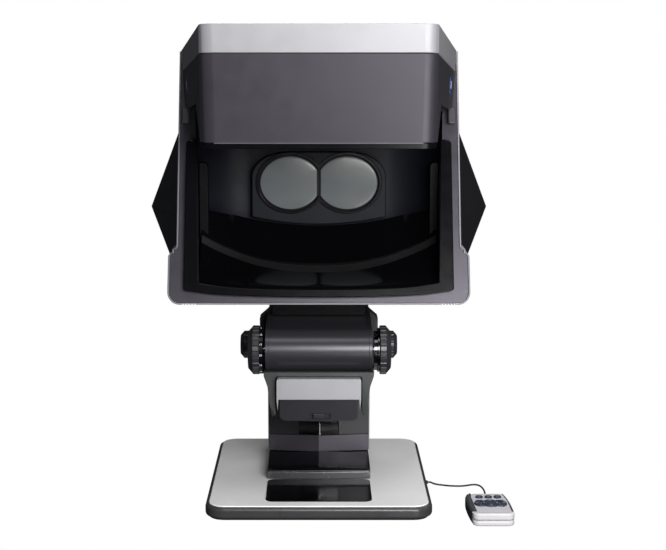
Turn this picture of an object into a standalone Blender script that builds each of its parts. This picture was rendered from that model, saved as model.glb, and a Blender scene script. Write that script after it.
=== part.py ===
"""A stereo viewer: a hooded mirror head on a focusing stand, with a wired handset beside it.

Metres, +Z up, +Y away from the person who looks in, +X to their right.
The origin is the centre of the stand's underside, on the table.
"""

import math

import bmesh
import bpy
from mathutils import Matrix, Vector

GAP = 0.0003

# Base: a rubber mat, a casting with a rounded rim and a light cover plate.
BASE_WIDTH, BASE_DEPTH, BASE_CORNER = 0.344, 0.392, 0.030
BASE_RIM_ROUND = 0.005
MAT_TOP = 0.002
CASTING_TOP = 0.020
PLATE_WIDTH, PLATE_DEPTH, PLATE_CORNER = 0.333, 0.380, 0.025
PLATE_TOP = 0.022
PANEL_HALF_WIDTH, PANEL_FRONT, PANEL_BACK, PANEL_CORNER = 0.081, -0.170, -0.056, 0.012

# Column: a plinth, a hollow extrusion behind folded front covers, rails and the drive bar.
PLINTH_HALF_WIDTH, PLINTH_FRONT, PLINTH_BACK = 0.082, -0.055, 0.152
LIP_TOP, PLINTH_TOP = 0.038, 0.042
COLUMN_HALF_WIDTH, COLUMN_FRONT, COLUMN_BACK, COLUMN_TOP = 0.084, 0.048, 0.150, 0.270
COLUMN_WALL = 0.005
COVER_HALF_WIDTH, COVER_FRONT, COVER_CREASE = 0.082, 0.043, 0.034
BAND_TOP, COVER_TOP = 0.070, 0.147
WINDOW_HALF_WIDTH, WINDOW_TOP = 0.032, 0.092
RAIL_X, RAIL_HALF_WIDTH, RAIL_FRONT, RAIL_BOTTOM = 0.040, 0.008, 0.039, 0.152
BAR_HALF_WIDTH, BAR_FRONT = 0.006, 0.0262

# Focus block, which rides on the rails, and the focus drive in it.
BLOCK_HALF_WIDTH, BLOCK_FRONT, BLOCK_BACK = 0.095, 0.008, 0.0387
BLOCK_BOTTOM, BLOCK_TOP, BLOCK_CHAMFER = 0.186, 0.285, 0.014
FOCUS_AXIS_Y, FOCUS_AXIS_Z = 0.018, 0.2265
FOCUS_SHAFT_RADIUS, ROLLER_RADIUS, SHAFT_PLAY = 0.004, 0.008, 0.0004
FOCUS_KNOB_RADIUS, FOCUS_KNOB_INNER, FOCUS_KNOB_OUTER = 0.0222, 0.0965, 0.1262
NECK_HALF_WIDTH, NECK_FRONT, NECK_BACK, NECK_TOP = 0.073, -0.055, 0.070, 0.3197

# Zoom barrel, which crosses in front of the focus block, and its large knobs.
ZOOM_AXIS_Y, ZOOM_AXIS_Z = -0.120, 0.2465
BARREL_RADIUS, BARREL_HALF_WIDTH, BARREL_FLAT = 0.0335, 0.0805, 0.2185
SLOPE_TOP_Y, SLOPE_TOP_Z = -0.052, 0.2865
ZOOM_SHAFT_RADIUS = 0.005
ZOOM_KNOB_RADIUS, HUB_RADIUS = 0.0372, 0.0335
DIAL_INNER, DIAL_OUTER = 0.0838, 0.0902
KNOB_LEFT_OUTER, KNOB_RIGHT_INNER, KNOB_RIGHT_OUTER = 0.1090, 0.0925, 0.1125

# Optics: a cradle whose arms flank the objective housing.
CRADLE_FRONT, CRADLE_BACK, NOTCH_HALF_WIDTH, NOTCH_TOP = -0.152, -0.050, 0.0655, 0.2122
CRADLE_HALF, ARM_TIP_HALF, ARM_BOTTOM = 0.0835, 0.0705, 0.1505
OPTICS_FRONT, OPTICS_BACK = -0.165, -0.062
SILVER_HALF_WIDTH, SILVER_BOTTOM, SILVER_TOP = 0.0636, 0.1792, 0.2106
SKIRT_WIDTH, SKIRT_BOTTOM = 0.0024, 0.162
HOUSING_HALF_WIDTH, HOUSING_BOTTOM, HOUSING_CORNER = 0.0585, 0.1466, 0.012
LENS_AXIS_Y = -0.112
LENS_BORE_RADIUS, BARREL_OUTER_RADIUS, BARREL_INNER_RADIUS = 0.0245, 0.0238, 0.0190
OBJECTIVE_BOTTOM, OBJECTIVE_TOP = 0.1400, 0.1640
LIGHT_OUTER, LIGHT_INNER, LIGHT_HEIGHT = 0.036, 0.0255, 0.0050
CELL_RADIUS, CELL_HALF_HEIGHT, CELL_Z = 0.0232, 0.006, 0.1875
CELL_RIM, CELL_DISH = 0.004, 0.002
IRIS_HALF_WIDTH, IRIS_BOTTOM, IRIS_TOP, IRIS_TRAVEL = 0.0085, 0.1495, 0.1570, 0.008

# Head: everything on its face lies on a plane that leans back, FACE_SLOPE of depth per height.
FACE_Y, FACE_Z = -0.125, 0.315
FACE_SLOPE = math.tan(math.radians(20.0))
FASCIA_BOTTOM, FASCIA_TOP, FASCIA_THICK = 0.3195, 0.6925, 0.005
FASCIA_LOWER_HALF, FASCIA_UPPER_HALF = 0.2270, 0.2145
STEP_LOW, STEP_HIGH, FASCIA_CORNER = 0.385, 0.404, 0.016
TRIM = 0.003
SHELL_BACK, SHELL_WALL = 0.045, 0.004
OPENING_TOP_HALF, OPENING_BOTTOM_HALF, OPENING_BOTTOM, OPENING_TOP = 0.192, 0.185, 0.337, 0.604
BEZEL_HALF, BEZEL_BOTTOM, BEZEL_TOP, BEZEL_DEPTH, BEZEL_SAG = 0.204, 0.339, 0.561, 0.014, 0.009
BEZEL_INNER_TOP, BEZEL_INNER_LOW, BEZEL_INNER_BOTTOM = 0.189, 0.181, 0.350

# Hood: a canopy that narrows towards the front, with a silver cover on top.
HOOD_FRONT_Y, HOOD_FRONT_Z, HOOD_FRONT_HALF = -0.283, 0.734, 0.163
HOOD_REAR_Y, HOOD_REAR_Z, HOOD_REAR_HALF = 0.017, 0.696, 0.2165
HOOD_LIP_Y, HOOD_LIP_Z, HOOD_LIP_HALF = -0.245, 0.564, 0.165
CHEEK_Y, CHEEK_Z, CHEEK_REAR_Z = -0.192, 0.622, 0.606
SPLIT_FRONT_Z, SPLIT_REAR_Z = 0.6955, 0.663
SOFFIT_Y, SOFFIT_Z = -0.228, 0.5665
HOOD_WALL, HOOD_JOINT = 0.004, 0.0012
HOOD_ROLL, HOOD_ROLL_END = (0.019, 0.008), 78
HOOD_REACH = 0.26

# Viewing cavity behind the face.
CAVITY_HALF, CAVITY_BACK, CAVITY_CORNER, CAVITY_WALL = 0.196, 0.066, 0.085, 0.004
CAVITY_FRONT, CAVITY_BOTTOM, CAVITY_TOP = -0.16, 0.345, 0.606
MIRROR_FRONT_Z, MIRROR_BACK_Z, MIRROR_BACK_Y = 0.340, 0.418, 0.0360
MIRROR_FRONT_BOW, MIRROR_BACK_BOW = 0.33, 0.94
MIRROR_THICK, MIRROR_MARGIN = 0.005, 0.0085
MIRROR_CORNER_START, MIRROR_CORNER_CUT = 0.72, 0.037
LENS_BLOCK_HALF, LENS_BLOCK_FRONT, LENS_BLOCK_BACK = 0.108, 0.040, 0.0615
LENS_BLOCK_BOTTOM, LENS_BLOCK_TOP, LENS_BLOCK_ROUND, LENS_BLOCK_SAG = 0.4190, 0.536, 0.040, 0.0120
PUPIL_X, PUPIL_Z, PUPIL_HALF_WIDTH, PUPIL_HALF_HEIGHT = 0.0455, 0.4862, 0.0490, 0.0427
PUPIL_SPLIT = 0.0026
PROJECTOR_Y, PROJECTOR_RADIUS, PROJECTOR_LENGTH = 0.125, 0.030, 0.110

# Rear housing: two black shells that meet at the level of the side tips.
TIP_X, TIP_Y, SEAM_Z = 0.282, 0.147, 0.437
REAR_Y = 0.300
REAR_WALL, REAR_JOINT = 0.004, 0.0018
MOUTH_LOW_HALF, MOUTH_SEAM_HALF, MOUTH_TOP_HALF, MOUTH_EDGE = 0.205, 0.2135, 0.178, 0.0022
REAR_BOTTOM, REAR_BELLY_Y, REAR_EDGE_Y, REAR_EDGE_Z = 0.320, 0.110, 0.290, 0.340
ROOF_Z, ROOF_EDGE_Z, REAR_SEAM_HALF, REAR_EDGE_HALF = 0.676, 0.610, 0.150, 0.120
CONNECTOR_HALF_WIDTH, CONNECTOR_BOTTOM, CONNECTOR_TOP, CONNECTOR_THICK = 0.095, 0.352, 0.424, 0.003

# Handset and its cord.
CORD_DIAMETER = 0.0028
CORD_EXIT = (0.1765, -0.0240, 0.0080)
HANDSET_X, HANDSET_BACK, HANDSET_FRONT = 0.2595, -0.126, -0.221
HANDSET_HALF_WIDTH, HANDSET_SPLIT_Z, HANDSET_TOP = 0.031, 0.0095, 0.0205
HANDSET_BACK_HALF, HANDSET_WAIST_Y, HANDSET_CORNER = 0.0275, -0.176, 0.009
KEY_TRAVEL, KEY_PROUD, KEY_PLAY = 0.0012, 0.0022, 0.0005
KEY_ROW_Y, KEY_SPACING, KEY_RADII = -0.1430, 0.0140, (0.0056, 0.0056)
PAD_ROW_Y, PAD_RADII = -0.1745, (0.0135, 0.0150)
ROCKER_INNER, ROCKER_OUTER, ROCKER_SPREAD = (0.0152, 0.0168), (0.0245, 0.0205), 50

PLAN = Matrix.Identity(4)
ELEVATION = Matrix(((1, 0, 0, 0), (0, 0, -1, 0), (0, 1, 0, 0), (0, 0, 0, 1)))
SIDE = Matrix(((0, 0, 1, 0), (1, 0, 0, 0), (0, 1, 0, 0), (0, 0, 0, 1)))
FACE = Matrix(
    (
        (1, 0, 0, 0),
        (0, FACE_SLOPE, -1, FACE_Y - FACE_SLOPE * FACE_Z),
        (0, 1, 0, 0),
        (0, 0, 0, 1),
    )
)


def face_y(z):
    """Where the head's face plane is, in depth, at this height."""
    return FACE_Y + FACE_SLOPE * (z - FACE_Z)


# --- scene, collections and materials ---------------------------------------------------------


def clear_scene():
    for obj in list(bpy.data.objects):
        bpy.data.objects.remove(obj)


def new_collection(name):
    collection = bpy.data.collections.new(name)
    bpy.context.scene.collection.children.link(collection)
    return collection


def new_material(name, colour, roughness, metallic=0.0):
    material = bpy.data.materials.new(name)
    material.use_nodes = True
    shader = material.node_tree.nodes["Principled BSDF"]
    shader.inputs["Base Color"].default_value = (*colour, 1.0)
    shader.inputs["Roughness"].default_value = roughness
    shader.inputs["Metallic"].default_value = metallic
    return material


clear_scene()
PARTS = new_collection("stereo_viewer")
CUTTERS = new_collection("cutters")
SILVER = new_material("silver_paint", (0.58, 0.58, 0.62), 0.35, 0.4)
GUNMETAL = new_material("gunmetal_paint", (0.10, 0.095, 0.11), 0.38, 0.5)
BLACK = new_material("black_satin", (0.012, 0.012, 0.014), 0.45)
GLOSS = new_material("black_gloss", (0.004, 0.004, 0.005), 0.06)
CHARCOAL = new_material("charcoal_paint", (0.030, 0.029, 0.034), 0.42)
LIGHT_GREY = new_material("light_grey_plastic", (0.55, 0.54, 0.57), 0.5)
DARK_KEY = new_material("dark_key", (0.030, 0.040, 0.060), 0.4)
STEEL = new_material("ground_steel", (0.55, 0.55, 0.56), 0.3, 1.0)
GLASS = new_material("lens_glass", (0.20, 0.21, 0.20), 0.1)
RUBBER = new_material("black_rubber", (0.01, 0.01, 0.01), 0.8)


# --- shape helpers ----------------------------------------------------------------------------


def add_mesh(name, mesh, material, collection=PARTS):
    obj = bpy.data.objects.new(name, mesh)
    collection.objects.link(obj)
    if material:
        mesh.materials.append(material)
    if collection is CUTTERS:
        obj.hide_render = True
        obj.display_type = "WIRE"
    return obj


def mesh_of(bm, name):
    bmesh.ops.recalc_face_normals(bm, faces=bm.faces)
    mesh = bpy.data.meshes.new(name)
    bm.to_mesh(mesh)
    bm.free()
    return mesh


def smooth(obj, angle=35.0):
    obj.data.shade_smooth()
    obj.data.set_sharp_from_angle(angle=math.radians(angle))
    return obj


def arc(centre, radius, start, end, steps):
    """Points on an arc, angles in degrees; radius is one number or a pair for an ellipse."""
    across, up = radius if isinstance(radius, tuple) else (radius, radius)
    points = []
    for i in range(steps + 1):
        angle = math.radians(start + (end - start) * i / steps)
        points.append((centre[0] + across * math.cos(angle), centre[1] + up * math.sin(angle)))
    return points


def mirrored(points):
    """A right-hand outline and its mirror image, as one closed outline."""
    return points + [(-x, y) for x, y in reversed(points)]


def rounded_rectangle(left, right, bottom, top, radius, steps=6):
    corners = (
        (right - radius, bottom + radius, -90),
        (right - radius, top - radius, 0),
        (left + radius, top - radius, 90),
        (left + radius, bottom + radius, 180),
    )
    points = []
    for x, y, start in corners:
        points += arc((x, y), radius, start, start + 90, steps)
    return points


def prism(name, outlines, low, high, material, frame=PLAN, collection=PARTS):
    """A flat outline filled and extruded along its frame's third axis, from low to high."""
    curve = bpy.data.curves.new(name, "CURVE")
    curve.dimensions = "2D"
    curve.fill_mode = "BOTH"
    curve.extrude = (high - low) / 2
    for outline in outlines if isinstance(outlines[0][0], tuple) else [outlines]:
        spline = curve.splines.new("POLY")
        spline.points.add(len(outline) - 1)
        for point, (x, y) in zip(spline.points, outline):
            point.co = (x, y, 0, 1)
        spline.use_cyclic_u = True
    helper = bpy.data.objects.new(name + "_outline", curve)
    CUTTERS.objects.link(helper)
    bpy.context.view_layer.update()
    evaluated = helper.evaluated_get(bpy.context.evaluated_depsgraph_get())
    bm = bmesh.new()
    bm.from_mesh(bpy.data.meshes.new_from_object(evaluated))
    bpy.data.objects.remove(helper)
    bmesh.ops.remove_doubles(bm, verts=bm.verts, dist=1e-6)
    bm.transform(frame @ Matrix.Translation((0, 0, (low + high) / 2)))
    bmesh.ops.dissolve_limit(bm, angle_limit=0.001, verts=bm.verts, edges=bm.edges)
    return add_mesh(name, mesh_of(bm, name), material, collection)


def slice_off(obj, point, normal):
    """Cuts a closed mesh with a plane and drops what lies on the normal's side."""
    bm = bmesh.new()
    bm.from_mesh(obj.data)
    geometry = bm.verts[:] + bm.edges[:] + bm.faces[:]
    cut = bmesh.ops.bisect_plane(
        bm, geom=geometry, plane_co=point, plane_no=normal, clear_outer=True
    )
    edges = [item for item in cut["geom_cut"] if isinstance(item, bmesh.types.BMEdge)]
    bmesh.ops.edgeloop_fill(bm, edges=edges)
    bmesh.ops.recalc_face_normals(bm, faces=bm.faces)
    bm.to_mesh(obj.data)
    bm.free()
    return obj


def cut(obj, cutter, solver="EXACT"):
    modifier = obj.modifiers.new(cutter.name, "BOOLEAN")
    modifier.operation = "DIFFERENCE"
    modifier.solver = solver
    modifier.object = cutter
    return obj


def bevel(obj, width, segments=2, angle=30.0):
    modifier = obj.modifiers.new("edge_round", "BEVEL")
    modifier.width = width
    modifier.segments = segments
    modifier.limit_method = "ANGLE"
    modifier.angle_limit = math.radians(angle)
    return obj


def aim(axis):
    return Vector((0, 0, 1)).rotation_difference(Vector(axis)).to_matrix().to_4x4()


def cylinder(name, radius, length, centre, axis, material, segments=32, collection=PARTS):
    bm = bmesh.new()
    bmesh.ops.create_cone(
        bm, cap_ends=True, segments=segments, radius1=radius, radius2=radius, depth=length
    )
    obj = add_mesh(name, mesh_of(bm, name), material, collection)
    obj.matrix_world = Matrix.Translation(centre) @ aim(axis)
    return smooth(obj)


def turned(name, profile, centre, axis, material, steps=32):
    """A profile of (radius, height) points turned about the axis; it starts and ends on the
    axis, or closes on itself when it is a ring."""
    bm = bmesh.new()
    verts = [bm.verts.new((r, 0, z)) for r, z in profile]
    for first, second in zip(verts, verts[1:]):
        bm.edges.new((first, second))
    if profile[0][0] > 0:
        bm.edges.new((verts[-1], verts[0]))
    mesh = bpy.data.meshes.new(name)
    bm.to_mesh(mesh)
    bm.free()
    obj = add_mesh(name, mesh, material)
    obj.matrix_world = Matrix.Translation(centre) @ aim(axis)
    screw = obj.modifiers.new("turn", "SCREW")
    screw.steps = steps
    screw.render_steps = steps
    screw.use_merge_vertices = True
    screw.merge_threshold = 0.00001
    screw.use_smooth_shade = False
    return obj


def box(name, low, high, material, collection=PARTS):
    bm = bmesh.new()
    bmesh.ops.create_cube(bm, size=1.0)
    low, high = Vector(low), Vector(high)
    size = high - low
    bmesh.ops.scale(bm, vec=size, verts=bm.verts)
    obj = add_mesh(name, mesh_of(bm, name), material, collection)
    obj.location = (low + high) / 2
    return obj


# --- base and column --------------------------------------------------------------------------


def make_base():
    half_x, half_y = BASE_WIDTH / 2, BASE_DEPTH / 2
    inset = BASE_RIM_ROUND + 0.001
    mat = rounded_rectangle(-half_x + inset, half_x - inset, -half_y + inset, half_y - inset, 0.024)
    prism("base_mat", mat, 0, MAT_TOP, RUBBER)
    rim = rounded_rectangle(-half_x, half_x, -half_y, half_y, BASE_CORNER)
    casting = prism("base_casting", rim, MAT_TOP + GAP, CASTING_TOP, BLACK)
    bevel(casting, BASE_RIM_ROUND, 3)
    half_x, half_y = PLATE_WIDTH / 2, PLATE_DEPTH / 2
    plate = rounded_rectangle(-half_x, half_x, -half_y, half_y, PLATE_CORNER)
    prism("base_top_plate", plate, CASTING_TOP + GAP, PLATE_TOP, LIGHT_GREY)
    panel = rounded_rectangle(
        -PANEL_HALF_WIDTH, PANEL_HALF_WIDTH, PANEL_FRONT, PANEL_BACK, PANEL_CORNER
    )
    prism("work_panel", panel, PLATE_TOP + GAP, PLATE_TOP + 0.0013, GLOSS)


def prow(half_width, offset=0.0):
    """The plan of a folded cover: flat behind, with one crease down the middle in front."""
    front, crease = COVER_FRONT - offset, COVER_CREASE - offset
    back = COLUMN_FRONT - GAP
    edge = crease + (front - crease) * half_width / COVER_HALF_WIDTH
    return [(0, crease)] + mirrored([(half_width, edge), (half_width, back)])


def make_column():
    floor = PLATE_TOP + GAP
    profile = [
        (PLINTH_FRONT + 0.002, floor),
        (PLINTH_FRONT, floor + 0.004),
        (PLINTH_FRONT, LIP_TOP - 0.005),
        (PLINTH_FRONT + 0.0015, LIP_TOP - 0.0015),
        (PLINTH_FRONT + 0.005, LIP_TOP),
        (COLUMN_FRONT, PLINTH_TOP),
        (PLINTH_BACK, PLINTH_TOP),
        (PLINTH_BACK, floor),
    ]
    plinth = prism("column_plinth", profile, -PLINTH_HALF_WIDTH, PLINTH_HALF_WIDTH, BLACK, SIDE)
    bevel(plinth, 0.002, 2, 60)

    outer = rounded_rectangle(
        -COLUMN_HALF_WIDTH, COLUMN_HALF_WIDTH, COLUMN_FRONT, COLUMN_BACK, 0.006, 4
    )
    wall = COLUMN_WALL
    inner = rounded_rectangle(
        -COLUMN_HALF_WIDTH + wall,
        COLUMN_HALF_WIDTH - wall,
        COLUMN_FRONT + wall,
        COLUMN_BACK - wall,
        0.003,
        2,
    )
    bottom = PLINTH_TOP + GAP
    prism("column_extrusion", [outer, inner], bottom, COLUMN_TOP - 0.003, SILVER)
    cap = prism("column_top_cap", outer, COLUMN_TOP - 0.003 + GAP, COLUMN_TOP, BLACK)
    bevel(cap, 0.0008, 1)
    back = rounded_rectangle(-0.070, 0.070, bottom + 0.012, COLUMN_TOP - 0.016, 0.008, 3)
    prism(
        "column_rear_cover", back, -COLUMN_BACK - 0.0025, -COLUMN_BACK - GAP, CHARCOAL, ELEVATION
    )

    prism("column_foot_band", prow(COVER_HALF_WIDTH), bottom, BAND_TOP, GUNMETAL)
    cover = prism("column_front_cover", prow(COVER_HALF_WIDTH), BAND_TOP + GAP, COVER_TOP, CHARCOAL)
    pocket = prow(WINDOW_HALF_WIDTH + GAP, 0.002)
    hole = prism("window_pocket", pocket, BAND_TOP, WINDOW_TOP + GAP, None, PLAN, CUTTERS)
    cut(cover, hole)
    window = prow(WINDOW_HALF_WIDTH, -0.0004)
    prism("column_window", window, BAND_TOP + GAP, WINDOW_TOP, GLOSS)


def make_slideway():
    top = COLUMN_TOP - 0.004
    back = COLUMN_FRONT - GAP
    for side, name in ((-1, "guide_rail_left"), (1, "guide_rail_right")):
        x = side * RAIL_X
        low = (x - RAIL_HALF_WIDTH, RAIL_FRONT, RAIL_BOTTOM)
        high = (x + RAIL_HALF_WIDTH, back, top)
        bevel(box(name, low, high, STEEL), 0.0008, 1)
    low = (-BAR_HALF_WIDTH, BAR_FRONT, RAIL_BOTTOM)
    box("focus_drive_bar", low, (BAR_HALF_WIDTH, back, top), STEEL)


# --- focus block and focus drive --------------------------------------------------------------


def focus_block_plan():
    """The block's plan, with grooves at its back for the two rails and the drive bar."""
    rail = RAIL_HALF_WIDTH + SHAFT_PLAY
    slot, slot_depth = BAR_HALF_WIDTH + 0.004, FOCUS_AXIS_Y - ROLLER_RADIUS - 0.0015
    right = [
        (BLOCK_HALF_WIDTH, BLOCK_FRONT),
        (BLOCK_HALF_WIDTH, BLOCK_BACK + 0.006),
        (RAIL_X + rail, BLOCK_BACK + 0.006),
        (RAIL_X + rail, RAIL_FRONT - SHAFT_PLAY),
        (RAIL_X - rail, RAIL_FRONT - SHAFT_PLAY),
        (RAIL_X - rail, BLOCK_BACK + 0.006),
        (slot, BLOCK_BACK + 0.006),
        (slot, slot_depth),
    ]
    return mirrored(right)


def cross_bore(name, shaft_radius, centre):
    """A cutter for a shaft that runs from side to side, with a little play round it."""
    reach = 2 * BASE_WIDTH
    radius = shaft_radius + SHAFT_PLAY
    return cylinder(name, radius, reach, centre, (1, 0, 0), None, 24, CUTTERS)


def make_focus_block():
    block = prism("focus_block", focus_block_plan(), BLOCK_BOTTOM, BLOCK_TOP, CHARCOAL)
    for side in (-1, 1):
        shoulder = Vector((side * BLOCK_HALF_WIDTH, 0, BLOCK_TOP - BLOCK_CHAMFER))
        slice_off(block, shoulder, Vector((side * 0.66, 0, 0.75)))
    centre = (0, FOCUS_AXIS_Y, FOCUS_AXIS_Z)
    cut(block, cross_bore("focus_bore", FOCUS_SHAFT_RADIUS, centre))
    neck = [
        (NECK_FRONT + 0.004, SLOPE_TOP_Z + GAP),
        (NECK_FRONT, NECK_TOP),
        (NECK_BACK, NECK_TOP),
        (NECK_BACK - 0.018, BLOCK_TOP + GAP + 0.012),
        (BLOCK_BACK, BLOCK_TOP + GAP),
        (BLOCK_FRONT, BLOCK_TOP + GAP),
        (BLOCK_FRONT, SLOPE_TOP_Z + GAP),
    ]
    prism("neck_bracket", neck, -NECK_HALF_WIDTH, NECK_HALF_WIDTH, BLACK, SIDE)


def knob_profile(radius, inner, outer, chamfer):
    """A knob's half section from its outer face to its inner face."""
    return [
        (0, outer),
        (radius - chamfer - 0.004, outer),
        (radius - chamfer, outer - 0.0008),
        (radius - 0.0004, outer - chamfer * 0.8),
        (radius, outer - chamfer),
        (radius, inner + 0.0015),
        (radius - 0.0015, inner),
        (0, inner),
    ]


def make_focus_drive():
    centre = (0, FOCUS_AXIS_Y, FOCUS_AXIS_Z)
    end, roller_half = FOCUS_KNOB_INNER - GAP, BAR_HALF_WIDTH + 0.002
    shaft = [
        (0, end),
        (FOCUS_SHAFT_RADIUS, end),
        (FOCUS_SHAFT_RADIUS, roller_half),
        (ROLLER_RADIUS, roller_half),
        (ROLLER_RADIUS, -roller_half),
        (FOCUS_SHAFT_RADIUS, -roller_half),
        (FOCUS_SHAFT_RADIUS, -end),
        (0, -end),
    ]
    turned("focus_shaft", shaft, centre, (1, 0, 0), STEEL, 24)
    profile = knob_profile(FOCUS_KNOB_RADIUS, FOCUS_KNOB_INNER, FOCUS_KNOB_OUTER, 0.0060)
    for side, name in ((-1, "focus_knob_left"), (1, "focus_knob_right")):
        turned(name, profile, centre, (side, 0, 0), BLACK, 40)


# --- zoom barrel, knobs and optics ------------------------------------------------------------


def barrel_profile():
    drop = math.degrees(math.asin((ZOOM_AXIS_Z - BARREL_FLAT) / BARREL_RADIUS))
    front = arc((ZOOM_AXIS_Y, ZOOM_AXIS_Z), BARREL_RADIUS, 84, 180 + drop, 22)
    back = BLOCK_FRONT - GAP
    return front + [
        (back, BARREL_FLAT),
        (back, SLOPE_TOP_Z),
        (SLOPE_TOP_Y, SLOPE_TOP_Z),
    ]


def make_zoom_barrel():
    barrel = prism(
        "zoom_barrel", barrel_profile(), -BARREL_HALF_WIDTH, BARREL_HALF_WIDTH, CHARCOAL, SIDE
    )
    centre = (0, ZOOM_AXIS_Y, ZOOM_AXIS_Z)
    cut(barrel, cross_bore("zoom_bore", ZOOM_SHAFT_RADIUS, centre), "MANIFOLD")


def make_zoom_drive():
    centre = (0, ZOOM_AXIS_Y, ZOOM_AXIS_Z)
    end = DIAL_INNER - GAP
    cylinder("zoom_shaft", ZOOM_SHAFT_RADIUS, 2 * end, centre, (1, 0, 0), STEEL, 24)
    dial_radius = ZOOM_KNOB_RADIUS - 0.0010
    dial = [
        (0, DIAL_OUTER - GAP),
        (dial_radius, DIAL_OUTER - GAP),
        (dial_radius, DIAL_INNER + 0.001),
        (dial_radius - 0.001, DIAL_INNER),
        (0, DIAL_INNER),
    ]
    turned("zoom_dial", dial, centre, (-1, 0, 0), BLACK, 48)
    left = knob_profile(ZOOM_KNOB_RADIUS, DIAL_OUTER, KNOB_LEFT_OUTER, 0.0070)
    turned("zoom_knob_left", left, centre, (-1, 0, 0), BLACK, 48)
    hub = [
        (0, KNOB_RIGHT_INNER - GAP),
        (HUB_RADIUS, KNOB_RIGHT_INNER - GAP),
        (HUB_RADIUS, DIAL_INNER),
        (0, DIAL_INNER),
    ]
    turned("zoom_hub", hub, centre, (1, 0, 0), STEEL, 48)
    right = knob_profile(ZOOM_KNOB_RADIUS, KNOB_RIGHT_INNER, KNOB_RIGHT_OUTER, 0.0070)
    turned("zoom_knob_right", right, centre, (1, 0, 0), BLACK, 48)


def make_cradle():
    """A block with two tapering arms, which hang on either side of the objective housing."""
    top = BARREL_FLAT - GAP
    arm = [
        (NOTCH_HALF_WIDTH, ARM_BOTTOM + 0.0025),
        (NOTCH_HALF_WIDTH + 0.0015, ARM_BOTTOM),
        (ARM_TIP_HALF, ARM_BOTTOM),
        (ARM_TIP_HALF + 0.004, ARM_BOTTOM + 0.0195),
        (ARM_TIP_HALF + 0.007, ARM_BOTTOM + 0.0455),
        (CRADLE_HALF - 0.0005, top - 0.006),
        (CRADLE_HALF, top),
    ]
    notch_corner = arc((NOTCH_HALF_WIDTH - 0.004, NOTCH_TOP - 0.004), 0.004, 90, 0, 3)
    outline = mirrored(notch_corner + arm)
    cradle = prism("optics_cradle", outline, -CRADLE_BACK, -CRADLE_FRONT, CHARCOAL, ELEVATION)
    bevel(cradle, 0.0012, 2, 50)


def vertical_bore(name, radius, bottom, top):
    height, middle = top - bottom, (top + bottom) / 2
    centre = (0, LENS_AXIS_Y, middle)
    return cylinder(name, radius, height, centre, (0, 0, 1), None, 40, CUTTERS)


def make_objective_housing():
    top_corner = (SILVER_HALF_WIDTH - 0.003, SILVER_TOP - 0.003)
    cover_outline = [
        (SILVER_HALF_WIDTH - SKIRT_WIDTH - 0.0006, SILVER_BOTTOM),
        (SILVER_HALF_WIDTH - SKIRT_WIDTH + 0.0006, SKIRT_BOTTOM),
        (SILVER_HALF_WIDTH + 0.0008, SKIRT_BOTTOM),
        (SILVER_HALF_WIDTH, SILVER_BOTTOM),
    ] + arc(top_corner, 0.003, 0, 90, 3)
    cover = prism(
        "optics_front_cover", mirrored(cover_outline), -OPTICS_BACK, -OPTICS_FRONT, SILVER, ELEVATION
    )
    cut(cover, vertical_bore("cell_bore", LENS_BORE_RADIUS, 0.170, 0.220), "MANIFOLD")

    low_right = arc(
        (HOUSING_HALF_WIDTH - HOUSING_CORNER, HOUSING_BOTTOM + HOUSING_CORNER * 0.6),
        (HOUSING_CORNER, HOUSING_CORNER * 0.6),
        -90,
        0,
        5,
    )
    outline = mirrored(low_right + [(HOUSING_HALF_WIDTH, SILVER_BOTTOM - GAP)])
    housing = prism(
        "optics_housing", outline, -OPTICS_BACK, -OPTICS_FRONT - 0.0015, BLACK, ELEVATION
    )
    cut(housing, vertical_bore("objective_bore", LENS_BORE_RADIUS, 0.130, 0.200), "MANIFOLD")
    slot_half = IRIS_HALF_WIDTH + IRIS_TRAVEL + 0.001
    slot = box(
        "iris_slot",
        (-slot_half, OPTICS_FRONT - 0.01, IRIS_BOTTOM - 0.0005),
        (slot_half, OPTICS_FRONT + 0.0060, IRIS_TOP + 0.0005),
        None,
        CUTTERS,
    )
    cut(housing, slot, "MANIFOLD")
    iris = box(
        "iris_slider",
        (-IRIS_HALF_WIDTH, OPTICS_FRONT + 0.0002, IRIS_BOTTOM),
        (IRIS_HALF_WIDTH, OPTICS_FRONT + 0.0056, IRIS_TOP),
        CHARCOAL,
    )
    bevel(iris, 0.0006, 2)


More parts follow.
